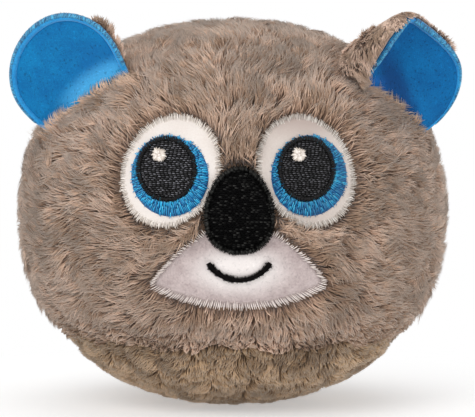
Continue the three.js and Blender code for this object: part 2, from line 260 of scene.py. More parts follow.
class Dye(Nodes):
    """Node tree of a material with one Principled shader."""

    def __init__(self, name: str) -> None:
        """Starts the material.

        Args:
            name: its name.
        """
        self.material = bpy.data.materials.new(name)
        self.material.use_nodes = True
        super().__init__(self.material.node_tree)
        self.shader = self.add("ShaderNodeBsdfPrincipled")
        self.out = self.add("ShaderNodeOutputMaterial", {0: self.shader.outputs[0]})

    def threads(self, stops: list[tuple[float, Colour]], dark: Colour, light: Colour) -> Socket:
        """Colour of hairs or stitches, read only from their own UV map.

        Args:
            stops: colours along each, from 0 to 1.
            dark: what the darkest of them are multiplied by.
            light: what the lightest of them are multiplied by.

        Returns:
            The colour.
        """
        own = self.add("ShaderNodeUVMap", uv_map="OFBake").outputs[0]
        tone, along = self.add("ShaderNodeSeparateXYZ", {0: own}).outputs[:2]
        return self.mix("MULTIPLY", 1.0, self.ramp(along, stops), self.ramp(tone, [(0.0, dark), (1.0, light)]))

    def spot(self, colour: Socket, spot: "Spot") -> Socket:
        """Mixes in an oval of another colour, which paints light and shade, in the front view.

        Args:
            colour: what it lies on.
            spot: the oval.

        Returns:
            The mixed colour.
        """
        local = self.add("ShaderNodeMapping", {
            "Vector": self.place(), "Location": (spot.across, 0.0, spot.rise),
            "Rotation": (0.0, math.radians(-spot.turn), 0.0), "Scale": (spot.wide, 10.0, spot.tall),
        }, vector_type="TEXTURE")
        share = self.step(local.outputs[0], 1 + spot.soft, 1 - spot.soft, spot.strength)
        return self.mix("MIX", share, colour, (*shade(*spot.colour), 1))

    def settle(self, colour: Socket, roughness: float, sheen: float, specular: float) -> Material:
        """Sets the shader's colour and constants.

        Args:
            colour: of the surface.
            roughness: of the surface.
            sheen: weight of its fuzz.
            specular: strength of its gloss.

        Returns:
            The finished material.
        """
        self.feed(self.shader, {"Base Color": colour, "Roughness": roughness, "Sheen Weight": sheen,
                                "Sheen Roughness": 0.5, "Specular IOR Level": specular})
        return self.material


def shade(red: int, green: int, blue: int) -> Colour:
    """A display colour from 0 to 255 as scene light."""
    parts = [v / 255 for v in (red, green, blue)]
    light = [p / 12.92 if p <= 0.04045 else ((p + 0.055) / 1.055) ** 2.4 for p in parts]
    return (light[0], light[1], light[2])


@dataclass(frozen=True)
class PileFinish:
    """Pile whose display colour runs from root to tip, and its tone from hair to hair."""

    name: str
    root: Colour
    middle: Colour
    tip: Colour
    middle_at: float = 0.42
    cool: Colour = (0.6, 0.53, 0.455)
    warm: Colour = (1.31, 1.25, 1.21)

    def material(self) -> Material:
        """Builds the material.

        Returns:
            The finished material.
        """
        nodes = Dye(self.name)
        root, middle, tip = (shade(*colour) for colour in (self.root, self.middle, self.tip))
        stops = [(0.0, root), (self.middle_at, middle), (1.0, tip)]
        return nodes.settle(nodes.threads(stops, self.cool, self.warm), 0.8, 0.3, 0.2)


@dataclass(frozen=True)
class ThreadFinish:
    """Embroidery thread, with display colours along it and a tone that differs from stitch to stitch."""

    name: str
    start: Colour
    middle: Colour
    end: Colour
    dark: Colour = (0.8, 0.8, 0.8)
    light: Colour = (1.15, 1.15, 1.15)
    roughness: float = 0.42
    specular: float = 0.5
    sheen: float = 0.1
    start_until: float = 0.14
    middle_at: float = 0.3

    def shaded(self, name: str, share: float) -> "ThreadFinish":
        """The same thread in a little shade."""
        dark, light = (tuple(share * part for part in tone) for tone in (self.dark, self.light))
        return replace(self, name=name, dark=dark, light=light)

    def material(self) -> Material:
        """Builds the material.

        Returns:
            The finished material.
        """
        nodes = Dye(self.name)
        start, middle, end = (shade(*colour) for colour in (self.start, self.middle, self.end))
        stops = [(0.0, start), (self.start_until, start), (self.middle_at, middle), (1.0, end)]
        return nodes.settle(nodes.threads(stops, self.dark, self.light), self.roughness, self.sheen, self.specular)


@dataclass(frozen=True)
class Spot:
    """A soft-edged oval of painted light and shade on cloth, in the front view."""

    across: float
    rise: float
    wide: float
    tall: float
    turn: float
    colour: Colour
    strength: float
    soft: float


@dataclass(frozen=True)
class ClothFinish:
    """Cloth with a mottled colour, a fine grain, dark specks and ovals of painted light and shade."""

    name: str
    deep: Colour
    pale: Colour
    grain: float = 2600.0
    patch: float = 160.0
    relief: float = 0.00012
    sheen: float = 0.3
    specks: float = 0.0
    spots: tuple[Spot, ...] = ()
    speck_scale: float = 1700.0

    def material(self) -> Material:
        """Builds the material on Object coordinates.

        Returns:
            The finished material.
        """
        nodes = Dye(self.name)
        grain = nodes.noise(self.grain, 3.0)
        ends = [(0.3, shade(*self.deep)), (0.7, shade(*self.pale))]
        fine, broad = (nodes.ramp(value, ends) for value in (grain, nodes.noise(self.patch, 3.0)))
        colour = nodes.mix("MIX", 0.5, fine, broad)
        # Ovals of painted light and shade over the cloth's own colour.
        for spot in self.spots:
            colour = nodes.spot(colour, spot)
        if self.specks:
            dark, plain, light = (0.5,) * 3, (1.0,) * 3, (1.35,) * 3
            stops = [(0.3, dark), (0.38, plain), (0.64, plain), (0.72, light)]
            colour = nodes.mix("MULTIPLY", self.specks, colour, nodes.ramp(nodes.noise(self.speck_scale, 1.0), stops))
        bump = nodes.add("ShaderNodeBump", {"Strength": 0.6, "Distance": self.relief, "Height": grain})
        nodes.feed(nodes.shader, {"Normal": bump.outputs[0]})
        return nodes.settle(colour, 0.85, self.sheen, 0.2)


class Finishes:
    """Every finish of the toy, made once."""

    def __init__(self) -> None:
        """Builds the materials."""
        self.coat = PileFinish("coat_pile", (136, 106, 87), (191, 163, 143), (217, 197, 180)).material()
        self.base = PileFinish("base_pile", (126, 101, 78), (184, 157, 126), (212, 188, 156)).material()
        self.ear_back = PileFinish(
            "ear_pile", (166, 140, 122), (206, 181, 164), (228, 207, 192)).material()
        self.skin = ClothFinish("coat_backing", (120, 97, 80), (146, 121, 102)).material()
        self.ear_skin = ClothFinish("ear_backing", (140, 116, 101), (164, 140, 124)).material()
        self.base_skin = ClothFinish("base_backing", (112, 90, 68), (138, 114, 88)).material()
        white = ThreadFinish(
            "white_thread", (232, 223, 215), (246, 239, 232), (238, 228, 218),
            (0.66, 0.62, 0.58), (1.08, 1.08, 1.08))
        # The right eye's white thread is a darker copy: painted shade on that eye.
        self.white = {Side.LEFT: white.material(), Side.RIGHT: white.shaded("white_thread_right", 0.82).material()}
        self.muzzle_edge = ThreadFinish(
            "muzzle_thread", (228, 216, 210), (240, 230, 225), (234, 222, 216),
            (0.76, 0.73, 0.71), (1.05, 1.05, 1.05)).material()
        self.felt = {
            Side.LEFT: ClothFinish(
                "white_felt_left", (226, 216, 209), (239, 232, 226), relief=0.00005).material(),
            # The right eye's felt is darker all over and darker still at its top: painted shade on that eye.
            Side.RIGHT: ClothFinish(
                "white_felt_right", (202, 190, 182), (216, 206, 199), relief=0.00005,
                spots=(Spot(0.0165, 0.072, 0.012, 0.0055, 0, (176, 159, 152), 0.85, 0.6),)).material(),
        }
        blue = ThreadFinish(
            "blue_thread", (74, 182, 226), (18, 148, 208), (8, 128, 194),
            (0.3, 0.46, 0.58), (3.0, 1.8, 1.42))
        # The right eye's blue thread is a darker copy: painted shade on that eye.
        self.blue = {Side.LEFT: blue.material(), Side.RIGHT: blue.shaded("blue_thread_right", 0.76).material()}
        self.blue_base = ClothFinish("blue_base", (8, 80, 136), (18, 108, 172)).material()
        self.black = ThreadFinish(
            "black_thread", (6, 6, 7), (12, 11, 13), (6, 6, 7),
            (0.4,) * 3, (1.7,) * 3, 0.4, 0.22, 0.0).material()
        fleck = ThreadFinish(
            "black_fill_thread", (24, 24, 26), (72, 72, 76), (24, 24, 26),
            (0.1,) * 3, (3.6,) * 3, 0.4, 0.4, 0.0)
        # The right eye's black fill is a darker copy: painted shade on that eye.
        self.fleck = {Side.LEFT: fleck.material(), Side.RIGHT: fleck.shaded("black_fill_right", 0.55).material()}
        self.lip = ThreadFinish(
            "mouth_thread", (4, 3, 3), (8, 5, 5), (4, 3, 3),
            (0.4,) * 3, (1.6,) * 3, 0.7, 0.06, 0.0).material()
        self.nose = ThreadFinish(
            "nose_thread", (2, 2, 2), (16, 16, 15), (2, 2, 2),
            (0.02,) * 3, (9.0,) * 3, 0.6, 0.04, 0.0).material()
        self.black_base = ClothFinish("black_base", (5, 5, 6), (10, 10, 11), sheen=0.0).material()
        # The muzzle cloth's lighter oval is a painted highlight on the puff between the nose and the mouth.
        self.muzzle = ClothFinish(
            "muzzle_cloth", (166, 150, 149), (204, 190, 188), 2200.0, 420.0, 0.0002, specks=0.3,
            spots=(Spot(0.0, 0.0357, 0.0092, 0.0048, 0, (236, 230, 227), 0.85, 0.5),)).material()
        self.velour = {
            # The left ear's velour has painted shade above the fold and a painted highlight along the fold's ridge.
            Side.LEFT: ClothFinish(
                "ear_velour_left", (0, 88, 148), (8, 125, 182), 3200.0, 240.0, 0.00012, 0.05, specks=0.7,
                spots=(Spot(-0.0312, 0.084, 0.0065, 0.0034, 34, (6, 90, 152), 0.55, 0.6),
                       Spot(-0.032, 0.0772, 0.0088, 0.0036, 34, (74, 168, 222), 0.75, 0.5))).material(),
            # The right ear's velour is darker all over, with a small painted light near its base and painted shade in
            # the crease beside the body: painted light and shade on the rolled ear.
            Side.RIGHT: ClothFinish(
                "ear_velour_right", (0, 81, 140), (4, 112, 174), 3200.0, 240.0, 0.00012, 0.05, specks=0.7,
                spots=(Spot(0.0332, 0.0768, 0.0034, 0.0022, 0, (32, 102, 180), 0.7, 0.4),
                       Spot(0.0382, 0.0745, 0.0115, 0.003, -71, (6, 62, 118), 0.85, 0.6))).material(),
        }
        # The rim's blue, lighter than the lining's velour, is a painted highlight on the raised roll.
        self.rim = ClothFinish(
            "ear_rim", (16, 122, 188), (48, 156, 216), grain=3000.0, relief=0.00015, specks=0.4).material()
        self.edging = ThreadFinish(
            "ear_edging", (225, 240, 245), (240, 248, 250), (190, 215, 230),
            shade(4, 62, 112), shade(86, 190, 232)).material()
        self.fill = ClothFinish(
            "fibre", (222, 220, 214), (246, 245, 242), grain=900.0, relief=0.0006).material()
        self.pouch = ClothFinish(
            "pellet_pouch", (196, 190, 176), (222, 217, 205), grain=450.0, relief=0.0008).material()


# Shared forms


@dataclass(frozen=True)
class Ball:
    """The stuffed body's form, measured over the fur."""

    half_width: float = 0.052
    half_depth: float = 0.049
    half_height: float = 0.0472
    middle: float = 0.0457
    face_level: float = 0.04645
    roundness: float = 2.15

    @property
    def halves(self) -> Array:
        """The three half sizes."""
        return np.array([self.half_width, self.half_depth, self.half_height])

    def reach(self, ways: Array) -> Array:
        """Distance from the middle to the fur's surface, along unit ways."""
        return (np.abs(ways / self.halves) ** self.roundness).sum(axis=-1) ** (-1 / self.roundness)

    def place(self, ways: Array, depth: Array | float = 0.0) -> Array:
        """Points along unit ways from the middle, so deep under the fur's surface."""
        points = ways * (self.reach(ways) - depth)[..., None]
        return points + [0, 0, self.middle]

    def normals(self, points: Array) -> Array:
        """Ways out of the form at points near its surface."""
        local = points - [0, 0, self.middle]
        steep = np.sign(local) * np.abs(local / self.halves) ** (self.roundness - 1) / self.halves
        return unit(steep)

    def front(self, flat: Array, depth: Array | float) -> Array:
        """Points of the face.

        Args:
            flat: places in the front view, across and up from the level of the face.
            depth: how far each lies under the fur's surface.

        Returns:
            Points in space.
        """
        across = flat[:, 0]
        rise = flat[:, 1] + self.face_level - self.middle
        back = np.full(len(flat), -self.half_depth)
        for _ in range(14):
            ways = unit(np.stack([across, back, rise], axis=1))
            away = self.reach(ways) - depth
            back = -np.sqrt(np.maximum(away**2 - across**2 - rise**2, 1e-8))
        return np.stack([across, back, rise + self.middle], axis=1)


BALL = Ball()


def oval(across: float, rise: float, width: float, height: float, lean: float = 0.0, count: int = 96) -> Array:
    """An ellipse in the front view.

    Args:
        across: its middle.
        rise: its middle.
        width: its whole width.
        height: its whole height.
        lean: degrees that it is turned.
        count: points round it.

    Returns:
        Its outline.
    """
    angle = np.linspace(0, 2 * math.pi, count, endpoint=False)
    x, z = np.cos(angle) * width / 2, np.sin(angle) * height / 2
    turn = math.radians(lean)
    return np.stack([
        across + x * math.cos(turn) - z * math.sin(turn),
        rise + x * math.sin(turn) + z * math.cos(turn),
    ], axis=1)


def even_line(line: Array, count: int) -> Array:
    """An open line with so many points at equal distances."""
    run = np.concatenate([[0], np.cumsum(np.linalg.norm(np.diff(line, axis=0), axis=1))])
    return between(np.linspace(0, run[-1], count), run, line)


def even_ring(outline: Array, count: int) -> Array:
    """A closed outline with so many points at equal distances."""
    return even_line(np.vstack([outline, outline[:1]]), count + 1)[:-1]


def clearance(flat: Array, outline: Array) -> tuple[Array, Array]:
    """How far places lie outside an outline.

    Args:
        flat: places in the front view.
        outline: the closed outline.

    Returns:
        Distances, under zero inside, and the unit ways away from the outline.
    """
    best = np.full(len(flat), 1e9)
    near = np.zeros_like(flat)
    inside = np.zeros(len(flat), bool)
    for one, two in zip(outline, np.roll(outline, -1, axis=0)):
        step = two - one
        share = np.clip(((flat - one) @ step) / max(step @ step, 1e-18), 0, 1)
        spot = one + share[:, None] * step
        gap = np.linalg.norm(flat - spot, axis=1)
        closer = gap < best
        best[closer], near[closer] = gap[closer], spot[closer]
        crosses = (one[1] > flat[:, 1]) != (two[1] > flat[:, 1])
        reach = (two[0] - one[0]) * (flat[:, 1] - one[1]) / (two[1] - one[1] + 1e-18) + one[0]
        inside ^= crosses & (flat[:, 0] < reach)
    away = unit(flat - near)
    away[inside] *= -1
    return np.where(inside, -best, best), away


@dataclass(frozen=True)
class EyeLayout:
    """Outlines of one eye in the front view."""

    side: Side
    spacing: float = 0.0308
    rise: float = 0.01165
    tall: float = 0.0265
    wide: float = 0.0217
    lean: float = 28.0
    iris_spacing: float = 0.032
    iris_rise: float = 0.01065
    iris_wide: float = 0.0174
    iris_tall: float = 0.0181
    pupil_shift: float = -0.0007
    pupil_rise: float = 0.0122
    pupil_wide: float = 0.0137
    pupil_tall: float = 0.015
    glint_wide: float = 0.0033
    glint_shift: float = -0.0017
    glint_rise: float = 0.0032

    def patch(self, inset: float = 0.0) -> Array:
        """Outline of the white patch."""
        return oval(self.side.value * self.spacing / 2, self.rise, self.wide - 2 * inset,
                    self.tall - 2 * inset, self.side.value * self.lean)

    def iris(self) -> Array:
        """Outline of the iris."""
        return oval(self.side.value * self.iris_spacing / 2, self.iris_rise, self.iris_wide, self.iris_tall)

    @property
    def pupil_across(self) -> float:
        """Where the pupil's middle is."""
        return self.side.value * self.iris_spacing / 2 + self.pupil_shift

    def pupil(self, inset: float = 0.0) -> Array:
        """Outline of the pupil."""
        return oval(self.pupil_across, self.pupil_rise, self.pupil_wide - 2 * inset, self.pupil_tall - 2 * inset)

    def glint(self, inset: float = 0.0) -> Array:
        """Outline of the glint."""
        wide = self.glint_wide - 2 * inset
        return oval(self.pupil_across + self.glint_shift, self.pupil_rise + self.glint_rise, wide, wide)


@dataclass(frozen=True)
class NoseLayout:
    """Outline of the nose in the front view."""

    wide: float = 0.0162
    tall: float = 0.0203
    rise: float = 0.0031
    taper: float = 0.17
    roundness: float = 2.1

    def outline(self, inset: float = 0.0, count: int = 128) -> Array:
        """The egg-shaped outline.

        Args:
            inset: how far it is drawn in.
            count: points round it.

        Returns:
            Its points.
        """
        angle = np.linspace(0, 2 * math.pi, count, endpoint=False)
        power = 2 / self.roundness
        across = np.sign(np.cos(angle)) * np.abs(np.cos(angle)) ** power
        up = np.sign(np.sin(angle)) * np.abs(np.sin(angle)) ** power
        half = (self.wide / 2 - inset) * (1 - self.taper * up)
        return even_ring(np.stack([across * half, self.rise + up * (self.tall / 2 - inset)], axis=1), count)


@dataclass(frozen=True)
class MuzzleLayout:
    """Outlines of the muzzle and the mouth in the front view."""

    wide: float = 0.0398
    tall: float = 0.022
    rise: float = -0.0198
    shares: tuple[Pair, ...] = (
        (0, 0), (0.32, 0.018), (0.6, 0.07), (0.83, 0.14), (0.96, 0.205), (1, 0.27),
        (0.92, 0.38), (0.76, 0.54), (0.58, 0.69), (0.38, 0.82), (0.2, 0.94), (0, 1),
    )
    mouth_wide: float = 0.0139
    mouth_sag: float = 0.0038
    mouth_rise: float = -0.01275

    def outline(self, inset: float = 0.0, count: int = 160) -> Array:
        """The muzzle's outline.

        Args:
            inset: how far it is drawn in.
            count: points round it.

        Returns:
            Its points.
        """
        half, tall = self.wide / 2 - inset, self.tall - 2 * inset
        right = np.array([[a * half, self.rise + inset + u * tall] for a, u in self.shares])
        left = right[1:-1][::-1] * [-1, 1]
        ring = even_ring(np.vstack([right, left]), count)
        for _ in range(3):
            ring = (np.roll(ring, 1, axis=0) + 2 * ring + np.roll(ring, -1, axis=0)) / 4
        return ring

    def mouth(self, count: int) -> tuple[Array, Array]:
        """The mouth's line.

        Args:
            count: points along it.

        Returns:
            Its points and the unit ways down across it.
        """
        half = self.mouth_wide / 2
        radius = (half**2 + self.mouth_sag**2) / (2 * self.mouth_sag)
        angle = np.linspace(-1, 1, count) * math.asin(half / radius)
        down = np.stack([np.sin(angle), -np.cos(angle)], axis=1)
        return down * radius + [0, self.mouth_rise + radius], down


EYES = {Side.LEFT: EyeLayout(Side.LEFT, iris_spacing=0.0312, pupil_wide=0.0141), Side.RIGHT: EyeLayout(Side.RIGHT)}
NOSE = NoseLayout()
MUZZLE = MuzzleLayout()


# Making and placing meshes


def alone() -> None:
    """Deselects everything."""
    for item in bpy.context.view_layer.objects:
        item.select_set(False)


def pick(piece: Piece) -> None:
    """Selects one piece only and makes it active."""
    alone()
    piece.select_set(True)
    bpy.context.view_layer.objects.active = piece


@contextmanager
def editing(piece: Piece) -> Iterator[None]:
    """Opens one piece in edit mode, with all of it selected.

    Args:
        piece: the piece, which is closed again at the end.

    Yields:
        Nothing.
    """
    pick(piece)
    bpy.ops.object.mode_set(mode="EDIT")
    bpy.ops.mesh.select_all(action="SELECT")
    yield
    bpy.ops.object.mode_set(mode="OBJECT")


def named(name: str) -> Piece:
    """Names the piece that was just added."""
    piece = bpy.context.view_layer.objects.active
    piece.name = piece.data.name = name
    return piece


def globe(name: str, segments: int, rings: int) -> tuple[Piece, Array]:
    """A sphere of radius one.

    Args:
        name: the piece's name.
        segments: round it.
        rings: from pole to pole.

    Returns:
        The piece, and the unit ways to its points.
    """
    alone()
    bpy.ops.mesh.primitive_uv_sphere_add(segments=segments, ring_count=rings, radius=1.0)
    piece = named(name)
    return piece, unit(corners(piece))


def corners(piece: Piece) -> Array:
    """The piece's points as rows."""
    flat = np.zeros(len(piece.data.vertices) * 3, np.float32)
    piece.data.vertices.foreach_get("co", flat)
    return flat.reshape(-1, 3).astype(float)


def reshape(piece: Piece, points: Array) -> None:
    """Sets the piece's points."""
    piece.data.vertices.foreach_set("co", points.astype(np.float32).ravel())
    piece.data.update()


def solidify(piece: Piece, thickness: float, **settings: object) -> None:
    """Gives an open sheet its thickness, behind it.

    Args:
        piece: the sheet.
        thickness: in metres.
        settings: more of the modifier's properties.
    """
    pick(piece)
    modifier = piece.modifiers.new("solidify", "SOLIDIFY")
    for key, value in {"thickness": thickness, "offset": -1.0, **settings}.items():
        setattr(modifier, key, value)
    bpy.ops.object.modifier_apply(modifier=modifier.name)


def face_out(piece: Piece) -> None:
    """Turns a closed piece's faces outwards and smooths them."""
    with editing(piece):
        bpy.ops.mesh.normals_make_consistent(inside=False)
    bpy.ops.object.shade_smooth()


def dress(piece: Piece, material: Material, slot: str, *nodes: str, body: Body = Body.TRUNK,
          fill: float | None = None) -> None:
    """Gives a finished piece its finish and its body.

    Args:
        piece: the finished mesh.
        material: its finish.
        slot: the record's material slot, not used.
        nodes: CAD nodes that it stands for.
        body: the body that it rides on.
        fill: of a padded piece, not used.
    """
    piece.data.materials.clear()
    piece.data.materials.append(material)
    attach(piece, body.value)
    if nodes:
        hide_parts(*nodes)
    LOG.info("%s: %d faces", piece.name, len(piece.data.polygons))


SPOKES = 96


def disc(name: str, rings: int) -> Piece:
    """A flat round sheet of radius one, inset ring by ring.

    Args:
        name: the piece's name.
        rings: rings from its edge to its middle.

    Returns:
        The open sheet.
    """
    alone()
    bpy.ops.mesh.primitive_circle_add(vertices=SPOKES, radius=1.0, fill_type="NGON")
    piece = named(name)
    with editing(piece):
        for _ in range(rings - 1):
            bpy.ops.mesh.inset(thickness=1.0 / rings, depth=0.0, use_even_offset=True)
        bpy.ops.mesh.poke()
    return piece


def stretch(piece: Piece, outline: Array, middle: Array) -> tuple[Array, Array]:
    """Stretches a disc over an outline.

    Args:
        piece: the disc.
        outline: the closed outline.
        middle: where the disc's middle comes.

    Returns:
        The places in the flat, and each point's share of the way from the middle to the edge.
    """
    points = corners(piece)
    turns = np.mod(np.arctan2(points[:, 1], points[:, 0]) / (2 * math.pi), 1)
    radius = np.clip(np.hypot(points[:, 0], points[:, 1]), 0, 1)
    return middle + radius[:, None] * (from_ring(outline, turns) - middle), radius


def from_ring(outline: Array, turns: Array) -> Array:
    """Points at shares of the way round a closed outline."""
    closed = np.vstack([outline, outline[:1]])
    return between(turns, np.linspace(0, 1, len(closed)), closed)


def thicken(piece: Piece, thickness: float, outwards: Array) -> None:
    """Makes an open sheet a closed body, with its thickness behind it.

    Args:
        piece: the sheet.
        thickness: in metres.
        outwards: a way that its first face should look.
    """
    if Vector(outwards).dot(piece.data.polygons[0].normal) < 0:
        with editing(piece):
            bpy.ops.mesh.flip_normals()
    solidify(piece, thickness, use_even_offset=False)
    bpy.ops.object.shade_smooth()


@dataclass(frozen=True)
class Sheet:
    """How a padded sheet lies on the face, with its depths measured under the fur."""

    edge_depth: float
    middle_depth: float
    thickness: float
    rings: int = 10
    fullness: float = 2.0

    def cut(self, name: str, outline: Array) -> Piece:
        """Makes the sheet.

        Args:
            name: the piece's name.
            outline: its outline in the front view.

        Returns:
            The closed piece.
        """
        piece = disc(name, self.rings)
        flat, radius = stretch(piece, outline, outline.mean(axis=0))
        depth = self.middle_depth + (self.edge_depth - self.middle_depth) * radius ** (2 * self.fullness)
        reshape(piece, BALL.front(flat, depth))
        thicken(piece, self.thickness, (0, -1, 0))
        return piece


TONES = 64
TONE_EDGE = 0.15
LENGTH_EDGE = 0.01


def strands(name: str, paths: Array, up: Array, width: Array, tones: Array, flatness: float = 1.0,
            sides: int = 3, pointed: bool = True) -> Piece:
    """Many thin threads or hairs as one mesh, with their tone and length in the UV map.

    Args:
        name: the piece's name.
        paths: points along each, as (threads, points, 3).
        up: the way that each thread's flat side looks.
        width: half widths, as (threads, points).
        tones: a tone from 0 to 1 for each.
        flatness: thickness as a share of width.
        sides: of the cross-section.
        pointed: ends in a point in place of a flat end.

    Returns:
        The piece.
    """
    count, steps, _ = paths.shape
    rings = steps - 1 if pointed else steps
    along = unit(np.gradient(paths, axis=1))
    across = unit(np.cross(along, up[:, None, :]))
    over = np.cross(across, along)
    angle = 2 * math.pi * (np.arange(sides) + 0.5) / sides
    wide, thick = np.cos(angle)[:, None], np.sin(angle)[:, None] * flatness
    spread = across[:, :rings, None] * wide + over[:, :rings, None] * thick
    points = (paths[:, :rings, None] + spread * width[:, :rings, None, None]).reshape(count, rings * sides, 3)
    if pointed:
        points = np.concatenate([points, paths[:, -1:]], axis=1)
    per = points.shape[1]
    order, sizes, u, v = [], [], [], []

    def add(face: list[int], us: list[float], vs: list[float]) -> None:
        """Adds one face of the pattern.

        Args:
            face: its corners.
            us: their places across the tone's column.
            vs: their places along the thread.
        """
        order.extend(face)
        sizes.append(len(face))
        u.extend(us)
        v.extend(vs)

    for ring in range(rings - 1):
        low, high = ring / (steps - 1), (ring + 1) / (steps - 1)
        for k in range(sides):
            here, after = ring * sides + k, ring * sides + (k + 1) % sides
            add([here, after, after + sides, here + sides],
                [k / sides, (k + 1) / sides, (k + 1) / sides, k / sides], [low, low, high, high])
    cap = [0.5 + 0.4 * math.cos(a) for a in angle]
    rise = [0.02 + 0.02 * math.sin(a) for a in angle]
    add(list(range(sides))[::-1], cap[::-1], rise[::-1])
    last = (rings - 1) * sides
    if pointed:
        low = (rings - 1) / (steps - 1)
        for k in range(sides):
            add([last + k, last + (k + 1) % sides, rings * sides],
                [k / sides, (k + 1) / sides, (k + 0.5) / sides], [low, low, 1.0])
    else:
        add(list(range(last, last + sides)), cap, [1 - r for r in rise])
    mesh = bpy.data.meshes.new(name)
    loops, faces = len(order), len(sizes)
    mesh.vertices.add(count * per)
    mesh.vertices.foreach_set("co", points.astype(np.float32).ravel())
    mesh.loops.add(count * loops)
    index = np.array(order)[None, :] + (np.arange(count) * per)[:, None]
    mesh.loops.foreach_set("vertex_index", index.astype(np.int32).ravel())
    mesh.polygons.add(count * faces)
    starts = np.concatenate([[0], np.cumsum(sizes)[:-1]])[None, :] + (np.arange(count) * loops)[:, None]
    mesh.polygons.foreach_set("loop_start", starts.astype(np.int32).ravel())
    column = np.floor(np.clip(tones, 0, 0.999) * TONES)
    uv = np.empty((count, loops, 2), np.float32)
    uv[..., 0] = (column[:, None] + TONE_EDGE + (1 - 2 * TONE_EDGE) * np.array(u)[None, :]) / TONES
    uv[..., 1] = LENGTH_EDGE + (1 - 2 * LENGTH_EDGE) * np.array(v)[None, :]
    layer = mesh.uv_layers.new(name="OFBake")
    layer.data.foreach_set("uv", uv.ravel())
    mesh.polygons.foreach_set("use_smooth", np.ones(count * faces, bool))
    mesh.update(calc_edges=True)
    piece = bpy.data.objects.new(name, mesh)
    bpy.context.scene.collection.objects.link(piece)
    return piece


def stitches(name: str, starts: Array, ends: Array, thread: float, lift: float, tones: Array,
             steps: int = 5, skew: float = 1.0) -> Piece:
    """Single embroidery stitches, each a raised thread that dips into the cloth at both ends.

    Args:
        name: the piece's name.
        starts: where each begins.
        ends: where each ends.
        thread: its width.
        lift: how far its middle stands over its ends.
        tones: a tone from 0 to 1 for each.
        steps: points along each.
        skew: over one, the thread comes up slowly and goes down fast.

    Returns:
        The piece.
    """
    up = BALL.normals((starts + ends) / 2)
    share = np.linspace(0, 1, steps)
    rise = np.sin(share**skew * math.pi) ** 0.6 * lift
    paths = lines(starts, ends, share) + up[:, None] * rise[None, :, None]
    half = thread / 2 * (0.45 + 0.55 * np.sin(share * math.pi) ** 0.5)
    return strands(name, paths, up, np.tile(half, (len(starts), 1)), tones, 0.7, 4, False)


# The coat


@dataclass(frozen=True)
class PileStyle:
    """How one kind of pile grows: hairs in clumps, and clumps in tufts."""

    seed: int
    sweep: float = 0.0056
    width: float = 0.00026
    steps: int = 3
    clump: float = 0.0019
    pull: float = 0.74
    tuft: float = 0.0056
    tuft_pull: float = 0.28
    tuft_dip: float = 0.22
    tuft_turn: float = 15.0
    clump_turn: float = 12.0
    stray: float = 7.0
    clump_rough: float = 0.08
    rough: float = 0.035
    uneven: float = 0.1
    tuft_tone: float = 0.26
    clump_tone: float = 0.25
    hair_tone: float = 0.06
    slow_tone: float = 0.14
    tuft_edge: Pair = (0.25, 0.65)
    tall: float = 1.03
    tall_range: Pair = (0.6, 1.05)
    pull_range: Pair = (0.75, 1.15)
    rise_curve: float = 1.9
    lean_curve: float = 1.35
    gather_curve: float = 1.7


